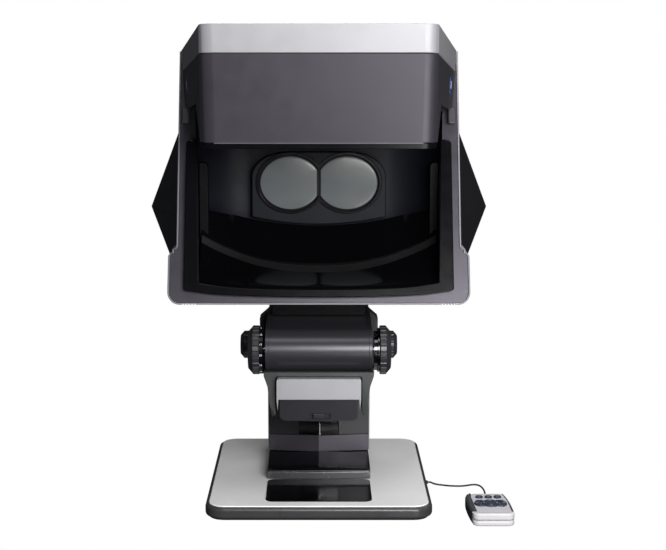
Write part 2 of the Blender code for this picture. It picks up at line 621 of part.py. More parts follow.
def make_optics():
    base = (0, LENS_AXIS_Y, 0)
    ring = [
        (BARREL_OUTER_RADIUS, OBJECTIVE_TOP),
        (BARREL_OUTER_RADIUS, OBJECTIVE_BOTTOM),
        (BARREL_INNER_RADIUS, OBJECTIVE_BOTTOM),
        (BARREL_INNER_RADIUS, OBJECTIVE_TOP),
    ]
    turned("objective_barrel", ring, base, (0, 0, 1), BLACK, 40)
    glass = BARREL_INNER_RADIUS - GAP
    lens = [
        (0, OBJECTIVE_BOTTOM + 0.0100),
        (glass * 0.5, OBJECTIVE_BOTTOM + 0.0094),
        (glass, OBJECTIVE_BOTTOM + 0.0075),
        (glass, OBJECTIVE_BOTTOM + 0.0040),
        (glass * 0.5, OBJECTIVE_BOTTOM + 0.0021),
        (0, OBJECTIVE_BOTTOM + 0.0015),
    ]
    turned("objective_lens", lens, base, (0, 0, 1), GLASS, 40)
    light_top = HOUSING_BOTTOM - GAP
    light = [
        (LIGHT_OUTER, light_top),
        (LIGHT_OUTER, light_top - LIGHT_HEIGHT + 0.0015),
        (LIGHT_OUTER - 0.002, light_top - LIGHT_HEIGHT),
        (LIGHT_INNER, light_top - LIGHT_HEIGHT),
        (LIGHT_INNER, light_top),
    ]
    turned("ring_light", light, base, (0, 0, 1), GUNMETAL, 40)
    inner = CELL_RADIUS - CELL_RIM
    upper = [
        (0, CELL_HALF_HEIGHT - CELL_DISH),
        (inner, CELL_HALF_HEIGHT - CELL_DISH),
        (inner, CELL_HALF_HEIGHT),
        (CELL_RADIUS, CELL_HALF_HEIGHT),
    ]
    cell = upper + [(radius, -height) for radius, height in reversed(upper)]
    turned("zoom_lens_cell", cell, (0, LENS_AXIS_Y, CELL_Z), (0, 0, 1), BLACK, 32)


# --- head face --------------------------------------------------------------------------------


def face_outline(grow):
    """The face's outline, wider below its side steps; grow widens it all round."""
    lower, upper = FASCIA_LOWER_HALF + grow, FASCIA_UPPER_HALF + grow
    bottom, top = FASCIA_BOTTOM - grow, FASCIA_TOP + grow
    radius = FASCIA_CORNER + grow
    right = arc((lower - radius, bottom + radius), radius, -90, 0, 6)
    bend = (lower - upper) / 2
    right += arc((lower - bend, STEP_LOW), (bend, 0.007), 0, 90, 3)[1:]
    right += arc((upper + bend, STEP_HIGH), (bend, 0.007), 270, 180, 3)
    right += [(upper + 0.0005, top)]
    return mirrored(right)


def opening_outline(grow=0.0):
    right = [
        (OPENING_BOTTOM_HALF + grow, OPENING_BOTTOM - grow),
        (OPENING_TOP_HALF + grow, OPENING_TOP + grow),
    ]
    return mirrored(right)


def rear_mouth(inset=0.0):
    """The rear housing's front outline, where the cavity passes into it."""
    top = FASCIA_TOP - 0.001
    right = [
        (MOUTH_LOW_HALF - inset, REAR_BOTTOM + inset),
        (MOUTH_SEAM_HALF - inset, SEAM_Z),
        (MOUTH_TOP_HALF - inset, top - inset),
    ]
    return mirrored(right)


def make_face():
    outlines = [face_outline(0), opening_outline()]
    prism("fascia_panel", outlines, -FASCIA_THICK, 0, GUNMETAL, FACE)

    shell = prism("head_shell", face_outline(TRIM), -SHELL_BACK, 0.0008, SILVER, FACE)
    pocket = prism(
        "fascia_pocket", face_outline(GAP), -FASCIA_THICK - GAP, 0.01, None, FACE, CUTTERS
    )
    cut(shell, pocket)
    inside, floor = face_outline(-SHELL_WALL), -SHELL_BACK + SHELL_WALL
    cut(shell, prism("shell_hollow", inside, floor, 0.02, None, FACE, CUTTERS))
    mouth = rear_mouth(MOUTH_EDGE)
    cut(shell, prism("shell_mouth", mouth, -0.2, 0.03, None, FACE, CUTTERS))


def bezel_outline(half, low_half, bottom, top, sag, radius):
    right = arc((0, bottom), (low_half * 0.92, sag), -90, -30, 6)
    right += arc((low_half - radius, bottom + radius * 0.5), (radius, radius * 0.5), -60, 0, 3)
    right += arc((half - radius, top - radius), radius, 0, 90, 3)
    return mirrored(right)


def make_bezel():
    outer = bezel_outline(BEZEL_HALF, BEZEL_HALF, BEZEL_BOTTOM, BEZEL_TOP, BEZEL_SAG, 0.007)
    bezel = prism("tray_bezel", outer, GAP, BEZEL_DEPTH, BLACK, FACE)
    inner = bezel_outline(
        BEZEL_INNER_TOP, BEZEL_INNER_LOW, BEZEL_INNER_BOTTOM, BEZEL_TOP + 0.05, BEZEL_SAG, 0.004
    )
    cut(bezel, prism("bezel_opening", inner, -0.01, 0.03, None, FACE, CUTTERS))


# --- hood -------------------------------------------------------------------------------------


def hood_profile(inset=0.0):
    """The hood's side view, from the front lip over the top to the face and back underneath.

    The inset profile is the hollow's: it runs out through the open underside.
    """
    front = Vector((HOOD_FRONT_Y - HOOD_LIP_Y, HOOD_FRONT_Z - HOOD_LIP_Z)).normalized()
    slope = (HOOD_REAR_Z - HOOD_FRONT_Z) / (HOOD_REAR_Y - HOOD_FRONT_Y)
    rear_y, below = HOOD_REAR_Y + 0.08, inset * 4
    lip = Vector((HOOD_LIP_Y + inset, HOOD_LIP_Z)) - front * below
    brow_z = HOOD_FRONT_Z - inset
    brow = Vector((HOOD_FRONT_Y + inset, brow_z + slope * inset))
    return [
        tuple(lip),
        tuple(brow),
        (rear_y, brow_z + slope * (rear_y - HOOD_FRONT_Y)),
        (rear_y, CHEEK_REAR_Z - below),
        (face_y(CHEEK_REAR_Z), CHEEK_REAR_Z - below),
        (CHEEK_Y + inset, CHEEK_Z - below),
        (SOFFIT_Y + inset, SOFFIT_Z - below),
    ]


def cheek_plane(side, inset=0.0):
    """A point on a cheek's plane and its outward normal."""
    front = Vector((side * HOOD_FRONT_HALF, HOOD_FRONT_Y, HOOD_FRONT_Z))
    rear = Vector((side * HOOD_REAR_HALF, HOOD_REAR_Y, HOOD_REAR_Z))
    lip = Vector((side * HOOD_LIP_HALF, HOOD_LIP_Y, HOOD_LIP_Z))
    normal = (rear - front).cross(lip - front).normalized()
    if normal.x * side < 0:
        normal = -normal
    return front - normal * inset, normal


def face_plane(offset):
    """A point on the face plane moved this far forward, and its normal, which points back."""
    point = Vector((0, FACE_Y - offset, FACE_Z))
    return point, Vector((0, 1, -FACE_SLOPE)).normalized()


def split_plane():
    front = Vector((0, HOOD_FRONT_Y, SPLIT_FRONT_Z))
    rear = Vector((0, HOOD_REAR_Y, SPLIT_REAR_Z))
    return front, (rear - front).cross(Vector((-1, 0, 0))).normalized()


def roll_planes(side, inset):
    """Planes that roll an upright front edge back in a flat ellipse, from front to cheek."""
    top = Vector((side * HOOD_FRONT_HALF, HOOD_FRONT_Y, HOOD_FRONT_Z))
    lip = Vector((side * HOOD_LIP_HALF, HOOD_LIP_Y, HOOD_LIP_Z))
    out = Vector((side, 0, 0))
    forward = (lip - top).cross(out).normalized() * side
    across, depth = HOOD_ROLL
    steps = 5
    planes = []
    for i in range(steps):
        angle = math.radians(HOOD_ROLL_END * (i + 0.5) / steps)
        lean = out * (math.sin(angle) / across) + forward * (math.cos(angle) / depth)
        normal = lean.normalized()
        back = out * across * (1 - math.sin(angle)) + forward * depth * (1 - math.cos(angle))
        planes.append((top - back - normal * inset, normal))
    return planes


def hood_solid(name, inset, material, collection):
    solid = prism(name, hood_profile(inset), -HOOD_REACH, HOOD_REACH, material, SIDE, collection)
    for side in (-1, 1):
        for plane in [cheek_plane(side, inset)] + roll_planes(side, inset):
            slice_off(solid, *plane)
    return solid


def make_hood():
    point, normal = split_plane()
    cover = hood_solid("hood_cover", 0, GUNMETAL, PARTS)
    slice_off(cover, point - normal * GAP, normal)
    slice_off(cover, *face_plane(HOOD_JOINT))
    top = hood_solid("hood_top_cover", 0, SILVER, PARTS)
    slice_off(top, point, -normal)
    slice_off(top, *face_plane(HOOD_JOINT))
    hollow = hood_solid("hood_hollow", HOOD_WALL, None, CUTTERS)
    for shell in (cover, top):
        cut(shell, hollow)


def make_hood_liner():
    """The black plate that closes the hood from below, just inside its lower edge."""
    rear_y = face_y(CHEEK_REAR_Z) + 0.05
    drop, thick = 0.004, 0.003
    liner = [
        (HOOD_LIP_Y + 0.010, HOOD_LIP_Z + 0.006),
        (SOFFIT_Y + 0.006, SOFFIT_Z + 0.006),
        (CHEEK_Y + 0.006, CHEEK_Z - drop),
        (rear_y, CHEEK_REAR_Z - drop),
        (rear_y, CHEEK_REAR_Z - drop + thick),
        (CHEEK_Y + 0.004, CHEEK_Z - drop + thick),
        (SOFFIT_Y + 0.004, SOFFIT_Z + 0.009),
        (HOOD_LIP_Y + 0.0085, HOOD_LIP_Z + 0.009),
    ]
    plate = prism("hood_liner", liner, -HOOD_REACH, HOOD_REACH, BLACK, SIDE)
    inset = HOOD_WALL + GAP
    for side in (-1, 1):
        for plane in [cheek_plane(side, inset)] + roll_planes(side, inset):
            slice_off(plate, *plane)
    slice_off(plate, *face_plane(BEZEL_DEPTH))


# --- viewing cavity ---------------------------------------------------------------------------


def cavity_plan(inset=0.0):
    """The right half of the cavity's plan: a straight cheek and a back with a large corner."""
    half, back, radius = CAVITY_HALF - inset, CAVITY_BACK - inset, CAVITY_CORNER - inset
    return [(half, CAVITY_FRONT)] + arc((half - radius, back - radius), radius, 0, 90, 6)


def make_cavity():
    outer, inner = cavity_plan(), cavity_plan(CAVITY_WALL)
    inside = [(-x, y) for x, y in inner] + list(reversed(inner))
    wall = mirrored(outer) + inside
    shroud = prism("cavity_shroud", wall, CAVITY_BOTTOM, CAVITY_TOP, CHARCOAL)
    point, normal = face_plane(-FASCIA_THICK - 0.001)
    slice_off(shroud, point, -normal)
    low, high = CAVITY_TOP + GAP, CAVITY_TOP + 0.003
    roof = prism("cavity_roof", mirrored(outer), low, high, BLACK)
    slice_off(roof, point, -normal)


def mirror_height(x, t):
    bow = MIRROR_FRONT_BOW + (MIRROR_BACK_BOW - MIRROR_FRONT_BOW) * t
    return MIRROR_FRONT_Z + (MIRROR_BACK_Z - MIRROR_FRONT_Z) * t**1.35 + bow * x * x


def make_mirror():
    """A dished sheet that climbs from the front lip to the foot of the lens block.

    Its rear corners are cut back to clear the cavity's round corners.
    """
    across, along = 20, 10
    half = CAVITY_HALF - CAVITY_WALL - MIRROR_MARGIN
    bm = bmesh.new()
    rows = []
    for j in range(along + 1):
        t = j / along
        row = []
        for i in range(across + 1):
            x = half * (2 * i / across - 1)
            z = mirror_height(x, t)
            front = face_y(z) + FASCIA_THICK + 0.006
            side = max(0.0, abs(x) / half - MIRROR_CORNER_START) / (1 - MIRROR_CORNER_START)
            back = MIRROR_BACK_Y - MIRROR_CORNER_CUT * side
            row.append(bm.verts.new((x, front + (back - front) * t, z)))
        rows.append(row)
    for near, far in zip(rows, rows[1:]):
        for i in range(across):
            bm.faces.new((near[i], near[i + 1], far[i + 1], far[i]))
    mirror = add_mesh("stereo_mirror", mesh_of(bm, "stereo_mirror"), GLOSS)
    for polygon in mirror.data.polygons:
        if polygon.normal.z < 0:
            mirror.data.flip_normals()
            break
    solid = mirror.modifiers.new("thickness", "SOLIDIFY")
    solid.thickness = MIRROR_THICK
    solid.offset = -1
    smooth(mirror, 60)


def pupil_outline(side, grow):
    """A lens outline: an ellipse with its inner side cut straight."""
    limit = (PUPIL_X - PUPIL_SPLIT + grow) / (PUPIL_HALF_WIDTH + grow)
    angle = math.degrees(math.acos(limit))
    radii = (PUPIL_HALF_WIDTH + grow, PUPIL_HALF_HEIGHT + grow)
    points = arc((PUPIL_X, PUPIL_Z), radii, -180 + angle, 180 - angle, 28)
    return [(side * x, z) for x, z in points]


def lens_block_outline():
    """A sagging lower edge, upright sides and a crown with large elliptical corners."""
    half, rise = LENS_BLOCK_HALF, LENS_BLOCK_SAG
    steps = 5
    bottom = [(half * i / steps, LENS_BLOCK_BOTTOM + rise * (i / steps) ** 2) for i in range(steps + 1)]
    radii = (LENS_BLOCK_ROUND * 1.5, LENS_BLOCK_ROUND)
    crown = arc((half - radii[0], LENS_BLOCK_TOP - radii[1]), radii, 0, 90, 7)
    return mirrored(bottom[1:] + crown) + bottom[:1]


def make_lens_block():
    front, seat_depth = -LENS_BLOCK_FRONT, 0.006
    block = prism(
        "lens_block", lens_block_outline(), -LENS_BLOCK_BACK, front, CHARCOAL, ELEVATION
    )
    for side, name in ((-1, "pupil_lens_left"), (1, "pupil_lens_right")):
        low, wide, narrow = front - seat_depth, pupil_outline(side, GAP), pupil_outline(side, -GAP)
        cut(block, prism(name + "_seat", wide, low, 0, None, ELEVATION, CUTTERS))
        smooth(prism(name, narrow, low + GAP, front - 0.0012, GLASS, ELEVATION))


def make_projectors():
    for side, name in ((-1, "projector_left"), (1, "projector_right")):
        centre = (side * PUPIL_X, PROJECTOR_Y, PUPIL_Z)
        body = cylinder(name, PROJECTOR_RADIUS, PROJECTOR_LENGTH, centre, (0, 1, 0), BLACK, 28)
        bevel(body, 0.003, 2)


# --- rear housing -----------------------------------------------------------------------------


def rear_points():
    """Corners of the faceted housing, right-hand side only."""
    ring = [(x, face_y(z) + SHELL_BACK + REAR_JOINT, z) for x, z in rear_mouth() if x > 0]
    return ring + [
        (TIP_X, TIP_Y, SEAM_Z),
        (MOUTH_TOP_HALF, TIP_Y, ROOF_Z),
        (MOUTH_LOW_HALF, REAR_BELLY_Y, REAR_BOTTOM),
        (REAR_EDGE_HALF, REAR_Y - 0.030, ROOF_EDGE_Z),
        (REAR_SEAM_HALF, REAR_Y, SEAM_Z),
        (REAR_EDGE_HALF, REAR_EDGE_Y, REAR_EDGE_Z),
    ]


def make_rear_half(name, low, high):
    """The faceted shell, open in front, without what lies between the two heights."""
    bm = bmesh.new()
    for x, y, z in rear_points():
        bm.verts.new((x, y, z))
        bm.verts.new((-x, y, z))
    bmesh.ops.convex_hull(bm, input=bm.verts[:])
    bmesh.ops.dissolve_limit(bm, angle_limit=0.02, verts=bm.verts, edges=bm.edges)
    bmesh.ops.recalc_face_normals(bm, faces=bm.faces)
    leaning = Vector((0, -1, FACE_SLOPE)).normalized()
    front = [face for face in bm.faces if face.normal.dot(leaning) > 0.98]
    bmesh.ops.delete(bm, geom=front, context="FACES")
    mesh = bpy.data.meshes.new(name)
    bm.to_mesh(mesh)
    bm.free()
    half = add_mesh(name, mesh, BLACK)
    solid = half.modifiers.new("wall", "SOLIDIFY")
    solid.thickness = REAR_WALL
    solid.offset = -1
    solid.use_even_offset = True
    cut(half, box(name + "_cut", (-0.5, -0.5, low), (0.5, 0.5, high), None, CUTTERS))


def make_connector_panel():
    """The socket plate on the rear housing's lower back face, which leans a little."""
    slope = (REAR_Y - REAR_EDGE_Y) / (SEAM_Z - REAR_EDGE_Z)
    back = REAR_EDGE_Y - slope * REAR_EDGE_Z
    frame = Matrix(((-1, 0, 0, 0), (0, slope, 1, back), (0, 1, 0, 0), (0, 0, 0, 1)))
    low, high = CONNECTOR_BOTTOM, CONNECTOR_TOP
    half = CONNECTOR_HALF_WIDTH
    plate = rounded_rectangle(-half, half, low, high, 0.006, 4)
    inlet = rounded_rectangle(-0.080, -0.052, 0.376, 0.400, 0.003, 2)
    ports = rounded_rectangle(-0.030, 0.078, 0.372, 0.404, 0.003, 2)
    prism("connector_panel", [plate, inlet, ports], GAP, CONNECTOR_THICK, GUNMETAL, frame)


def make_rear():
    make_rear_half("rear_housing_upper", 0, SEAM_Z + GAP)
    make_rear_half("rear_housing_lower", SEAM_Z, 1)
    make_connector_panel()


# --- handset and cord -------------------------------------------------------------------------


def handset_outline(grow):
    """The handset's plan: a round-cornered box that narrows towards the cord."""
    front, back = HANDSET_FRONT - 0.001 - grow, HANDSET_BACK + 0.001 + grow
    wide, narrow = HANDSET_HALF_WIDTH + grow, HANDSET_BACK_HALF + grow
    radius = HANDSET_CORNER
    right = arc((wide - radius, front + radius), radius, -90, 0, 5)
    right += [(wide, HANDSET_WAIST_Y)]
    right += arc((narrow - radius, back - radius), radius, 5, 90, 5)
    return [(HANDSET_X + x, y) for x, y in mirrored(right)]


def make_handset():
    lower, upper = handset_outline(-0.001), handset_outline(0.0)
    tray = prism("handset_lower_shell", lower, 0, HANDSET_SPLIT_Z - GAP, BLACK)
    bevel(tray, 0.002, 2)
    lid = prism("handset_upper_shell", upper, HANDSET_SPLIT_Z, HANDSET_TOP, LIGHT_GREY)
    well_floor = HANDSET_TOP - 0.005
    key_low = well_floor + KEY_TRAVEL + KEY_PLAY
    wells = []
    for name, outline in handset_keys():
        well = prism(name + "_well", outline(KEY_PLAY), well_floor, 0.03, None, PLAN, CUTTERS)
        wells.append(well)
        key = prism(name, outline(0.0), key_low, HANDSET_TOP + KEY_PROUD, DARK_KEY)
        bevel(key, 0.0005, 1, 60)
    for well in wells:
        cut(lid, well)


def oval(offset, y, radii, steps=16):
    """An oval key's outline, as a function of how much to widen it."""

    def outline(grow):
        grown = (radii[0] + grow, radii[1] + grow)
        last = steps - 1
        return arc((HANDSET_X + offset, y), grown, 0, 360 * last / steps, last)

    return outline


def crescent(side, steps=10):
    """A rocker's outline beside the pad, as a function of how much to widen it."""

    def outline(grow):
        centre = (HANDSET_X, PAD_ROW_Y)
        spread = ROCKER_SPREAD + math.degrees(grow / ROCKER_INNER[0])
        outer = (ROCKER_OUTER[0] + grow, ROCKER_OUTER[1] + grow)
        inner = (ROCKER_INNER[0] - grow, ROCKER_INNER[1] - grow)
        facing = 0 if side > 0 else 180
        rim = arc(centre, outer, facing - spread * 0.8, facing + spread * 0.8, steps)
        return rim + arc(centre, inner, facing + spread, facing - spread, steps)

    return outline


def handset_keys():
    return [
        ("key_left", oval(-KEY_SPACING, KEY_ROW_Y, KEY_RADII)),
        ("key_middle", oval(0.0, KEY_ROW_Y, KEY_RADII)),
        ("key_right", oval(KEY_SPACING, KEY_ROW_Y, KEY_RADII)),
        ("nav_pad", oval(0.0, PAD_ROW_Y, PAD_RADII, 24)),
        ("rocker_left", crescent(-1)),
        ("rocker_right", crescent(1)),
    ]


def cord_route():
    """The cord's centre line, chosen by hand: out of the base, down and along the table."""
    lie = CORD_DIAMETER / 2 + 0.0001
    x, y, z = CORD_EXIT
    entry_y = HANDSET_BACK + 0.001 + GAP
    return [
        (x, y, z),
        (x + 0.0040, y + 0.0001, z - 0.0001),
        (x + 0.0095, y + 0.0034, z - 0.0034),
        (x + 0.0150, y + 0.0062, lie + 0.0010),
        (0.1975, -0.0174, lie),
        (0.2125, -0.0226, lie),
        (0.2286, -0.0238, lie),
        (0.2390, -0.0208, lie),
        (0.2468, -0.0170, lie),
        (0.2545, -0.0166, lie),
        (0.2602, -0.0228, lie),
        (0.2630, -0.0340, lie),
        (0.2642, -0.0480, lie),
        (0.2638, -0.0640, lie),
        (0.2624, -0.0800, lie),
        (0.2608, -0.0960, lie + 0.0008),
        (0.2599, -0.1080, lie + 0.0024),
        (0.2595, entry_y + 0.006, 0.0058),
        (0.2595, entry_y, 0.0060),
    ]


def catmull_rom(points, spacing):
    """A smooth curve through the points, read off about every spacing."""
    nodes = [Vector(p) for p in points]
    padded = [2 * nodes[0] - nodes[1]] + nodes + [2 * nodes[-1] - nodes[-2]]
    path = []
    for a, b, c, d in zip(padded, padded[1:], padded[2:], padded[3:]):
        steps = max(1, round((c - b).length / spacing))
        for i in range(steps):
            t = i / steps
            path.append(
                0.5
                * (
                    2 * b
                    + (c - a) * t
                    + (2 * a - 5 * b + 4 * c - d) * t * t
                    + (3 * b - 3 * c + d - a) * t**3
                )
            )
    path.append(nodes[-1])
    return path


def make_cord():
    path = catmull_rom(cord_route(), CORD_DIAMETER * 1.6)
    curve = bpy.data.curves.new("handset_cord", "CURVE")
    curve.dimensions = "3D"
    curve.bevel_depth = CORD_DIAMETER / 2
    curve.bevel_resolution = 2
    curve.use_fill_caps = True
    spline = curve.splines.new("POLY")
    spline.points.add(len(path) - 1)
    for point, place in zip(spline.points, path):
        point.co = (*place, 1)
    cord = bpy.data.objects.new("handset_cord", curve)
    curve.materials.append(RUBBER)
    PARTS.objects.link(cord)
    x, y, z = CORD_EXIT
    wall = BASE_WIDTH / 2
    gland = [
        (0, x - GAP - wall),
        (0.0022, x - GAP - wall),
        (0.0034, 0.0022),
        (0.0038, GAP),
        (0, GAP),
    ]
    turned("cord_gland", gland, (wall, y, z), (1, 0, 0), RUBBER, 20)


make_base()
make_column()
make_slideway()
make_focus_block()
make_focus_drive()
make_zoom_barrel()
make_zoom_drive()
make_cradle()
make_objective_housing()
make_optics()
make_face()
make_bezel()
make_hood()
make_hood_liner()
make_cavity()
make_mirror()
make_lens_block()
make_projectors()
make_rear()
make_handset()
make_cord()
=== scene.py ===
"""Looks for the stereo viewer: detailed shells, knobs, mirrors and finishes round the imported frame.

Metres, in the frame's own axes: +Z up, +Y away from the person who looks in, +X to their right.
"""

from math import acos, asin, cos, degrees, pi, radians, sin, tan

import bmesh
import bpy
from mathutils import Matrix, Vector


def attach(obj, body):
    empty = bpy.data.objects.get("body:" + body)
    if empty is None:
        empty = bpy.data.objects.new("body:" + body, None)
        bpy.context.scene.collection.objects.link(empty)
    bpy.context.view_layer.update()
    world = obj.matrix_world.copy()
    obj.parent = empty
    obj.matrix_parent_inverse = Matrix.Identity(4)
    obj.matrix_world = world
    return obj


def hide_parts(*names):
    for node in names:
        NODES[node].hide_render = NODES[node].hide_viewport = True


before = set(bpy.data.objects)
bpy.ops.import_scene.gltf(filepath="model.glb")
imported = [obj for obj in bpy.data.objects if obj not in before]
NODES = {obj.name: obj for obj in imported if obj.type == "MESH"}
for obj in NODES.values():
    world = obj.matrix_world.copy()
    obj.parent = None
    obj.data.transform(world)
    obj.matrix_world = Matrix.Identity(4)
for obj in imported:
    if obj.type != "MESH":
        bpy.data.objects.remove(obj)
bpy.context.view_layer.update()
SCENE = bpy.context.scene

# --- sizes shared with the frame ---

GAP = 0.0003
HEAD, STAND = "head_carriage", "stand"
SIDES = ((-1, "left"), (1, "right"))

# Everything on the head's face lies on a plane that leans back, FACE_SLOPE of depth per height.
FACE_Y, FACE_Z = -0.125, 0.315
FACE_SLOPE = tan(radians(20.0))
FASCIA_BOTTOM, FASCIA_TOP = 0.3195, 0.6925
FASCIA_LOWER_HALF, FASCIA_UPPER_HALF = 0.2270, 0.2145
STEP_LOW, STEP_HIGH, FASCIA_CORNER = 0.385, 0.404, 0.016
TRIM, SHELL_BACK = 0.003, 0.045

HOOD_FRONT_Y, HOOD_FRONT_Z, HOOD_FRONT_HALF = -0.283, 0.734, 0.163
HOOD_REAR_Y, HOOD_REAR_Z, HOOD_REAR_HALF = 0.017, 0.696, 0.2165
HOOD_LIP_Y, HOOD_LIP_Z, HOOD_LIP_HALF = -0.245, 0.564, 0.165
CHEEK_Y, CHEEK_Z, CHEEK_REAR_Z = -0.192, 0.622, 0.606
SPLIT_FRONT_Z, SPLIT_REAR_Z = 0.6955, 0.663
SOFFIT_Y, SOFFIT_Z = -0.228, 0.5665
HOOD_WALL, HOOD_ROLL, HOOD_ROLL_END = 0.004, (0.019, 0.008), 78

COVER_HALF_WIDTH = 0.082

def basis_at(place, across, up, out):
    """A frame at this place, with these three axes."""
    matrix = Matrix((across, up, out)).transposed().to_4x4()
    matrix.translation = place
    return matrix


def face_y(z):
    """Where the head's face plane is, in depth, at this height."""
    return FACE_Y + FACE_SLOPE * (z - FACE_Z)


X, Y, Z = Vector((1, 0, 0)), Vector((0, 1, 0)), Vector((0, 0, 1))
PLAN, ELEVATION, SIDE = Matrix.Identity(4), basis_at(Z * 0, X, Z, -Y), basis_at(Z * 0, Y, Z, X)
FACE = basis_at((0, face_y(0), 0), X, Z + Y * FACE_SLOPE, -Y)


def linked(obj):
    """The object, put in the scene."""
    SCENE.collection.objects.link(obj)
    return obj


# --- camera ---

CAMERA_PLACE, CAMERA_DIP = (0.0, -2.28316, 0.70213), 8.942
CAMERA_LENS, CAMERA_SENSOR, CAMERA_SHIFT = 78.32, 36, 0.0213


def make_camera():
    camera = linked(bpy.data.objects.new("camera", bpy.data.cameras.new("camera")))
    camera.location = CAMERA_PLACE
    camera.rotation_euler = (radians(90 - CAMERA_DIP), 0, 0)
    camera.data.sensor_width = CAMERA_SENSOR
    camera.data.lens = CAMERA_LENS
    camera.data.shift_x = CAMERA_SHIFT
    SCENE.camera = camera


make_camera()

# --- materials ---


class Shader:
    """A Principled material whose colour, roughness and bump come from small node chains."""

    def __init__(self, name, colour, roughness, metallic, specular=0.5):
        self.material = bpy.data.materials.new(name)
        self.material.use_nodes = True
        self.nodes = self.material.node_tree.nodes
        self.links = self.material.node_tree.links
        self.surface = self.nodes["Principled BSDF"]
        self.colour, self.roughness = colour, roughness
        self.set("Base Color", (*colour, 1))
        self.set("Roughness", roughness)
        self.set("Metallic", metallic)
        self.set("Specular IOR Level", specular)
        self.place = self.nodes.new("ShaderNodeTexCoord").outputs["Object"]
        self.material.diffuse_color = (*colour, 1)

    def set(self, socket, value):
        self.surface.inputs[socket].default_value = value
        return self

    def node(self, kind, values):
        """A new node with these values in its inputs."""
        node = self.nodes.new("ShaderNode" + kind)
        for socket, value in values.items():
            node.inputs[socket].default_value = value
        return node

    def feed(self, socket, output):
        self.links.new(output, self.surface.inputs[socket])
        return self

    def noise(self, scale, detail, stretch=(1, 1, 1)):
        mapping = self.node("Mapping", {"Scale": stretch})
        self.links.new(self.place, mapping.inputs["Vector"])
        noise = self.node("TexNoise", {"Scale": scale, "Detail": detail})
        self.links.new(mapping.outputs["Vector"], noise.inputs["Vector"])
        return noise.outputs["Fac"]

    def spread(self, factor, low, high):
        """The factor stretched from the noise's usual range to low..high."""
        ends = {"From Min": 0.3, "From Max": 0.7, "To Min": low, "To Max": high}
        node = self.node("MapRange", ends)
        self.links.new(factor, node.inputs["Value"])
        return node.outputs["Result"]

    def mottle(self, scale, amount, tint=(1, 1, 1)):
        """Slow variation of the base colour, and a tint where it is strongest."""
        mix = self.node("Mix", {})
        mix.data_type = "RGBA"
        dark = [c * (1 - amount) for c in self.colour]
        light = [min(1, c * (1 + amount) * t) for c, t in zip(self.colour, tint)]
        mix.inputs["A"].default_value = (*dark, 1)
        mix.inputs["B"].default_value = (*light, 1)
        factor = self.spread(self.noise(scale, 4.0), 0, 1)
        self.links.new(factor, mix.inputs["Factor"])
        return self.feed("Base Color", mix.outputs["Result"])

    def uneven(self, scale, amount, stretch=(1, 1, 1)):
        """Roughness that varies, as wiped and handled surfaces do."""
        low, high = self.roughness * (1 - amount), min(1, self.roughness * (1 + amount))
        return self.feed("Roughness", self.spread(self.noise(scale, 5.0, stretch), low, high))

    def grain(self, scale, height, stretch=(1, 1, 1)):
        """Fine relief, height in metres."""
        bump = self.node("Bump", {"Distance": height, "Strength": 1.0})
        self.links.new(self.noise(scale, 2.0, stretch), bump.inputs["Height"])
        return self.feed("Normal", bump.outputs["Normal"])

    def coat(self, weight, roughness):
        return self.set("Coat Weight", weight).set("Coat Roughness", roughness)


SPRAYED, MOULDED = 0.00003, 0.00001  # heights of surface grain
LENGTHWISE = (1, 1, 0.02)


def paint(name, colour, roughness, metallic=0.0, grain=SPRAYED, scale=1800, specular=0.5):
    shader = Shader(name, colour, roughness, metallic, specular)
    return shader.mottle(9, 0.05).uneven(40, 0.10).grain(scale, grain).material


def dull(name, colour, roughness, specular, metallic=0.0, grain=MOULDED):
    """Dark moulded plastic with a weak sheen."""
    return paint(name, colour, roughness, metallic, grain, 1400, specular)


SILVER = paint("silver_metallic_paint", (0.41, 0.405, 0.427), 0.42, 0.35)
# Painted shade: the optics cover's silver is SILVER made darker, so the cover reads less bright in
# the low front light.
OPTICS_SILVER_SHADED = paint("optics_cover_silver_painted_shade", (0.35, 0.346, 0.364), 0.40, 0.35, MOULDED)
GUNMETAL = paint("gunmetal_metallic_paint", (0.062, 0.057, 0.070), 0.38, 0.50)
FASCIA_PAINT = paint("fascia_metallic_paint", (0.060, 0.055, 0.068), 0.36, 0.50)
GUNMETAL_PLASTIC = paint("gunmetal_cover_paint", (0.060, 0.056, 0.066), 0.42, 0.35)
CHARCOAL = paint("charcoal_satin_paint", (0.015, 0.0148, 0.017), 0.32, 0.25)
BLACK = dull("black_satin_plastic", (0.0030, 0.0030, 0.0040), 0.22, 0.18)
BLACK_METAL = paint("black_painted_metal", (0.014, 0.014, 0.016), 0.36)
CAVITY = paint("cavity_anti_glare_paint", (0.0065, 0.0070, 0.0105), 0.50, 0.0, 0.00002, 1800, 0.12)
POST_BLACK = dull("cavity_post_plastic", (0.0020, 0.0020, 0.0026), 0.45, 0.08)
NECK_BLACK = dull("neck_black_paint", (0.0022, 0.0022, 0.0028), 0.42, 0.12, 0.0, 0.0)
REAR_BLACK = dull("rear_housing_plastic", (0.011, 0.0107, 0.0122), 0.36, 0.3)
HOUSING_BLACK = dull("objective_housing_paint", (0.017, 0.0165, 0.020), 0.34, 0.3, 0.1)
# The optics cradle: dark paint, made lighter and grey-green as a painted reflection of the light base
# plate below it.
CRADLE_PAINT_AND_REFLECTION = paint("cradle_paint_and_base_reflection", (0.047, 0.050, 0.049), 0.38, 0.25, MOULDED)
BASE_PAINT = paint("base_casting_paint", (0.058, 0.057, 0.060), 0.30, 0.25)
# The plinth lip: grey paint, made lighter as a painted reflection of the table in front of it.
LIP_PAINT_AND_REFLECTION = paint("plinth_lip_paint_and_reflection", (0.110, 0.109, 0.115), 0.26, 0.6, 0.0)
DEEP = paint("unlit_black_paint", (0.0025, 0.0025, 0.003), 0.7)
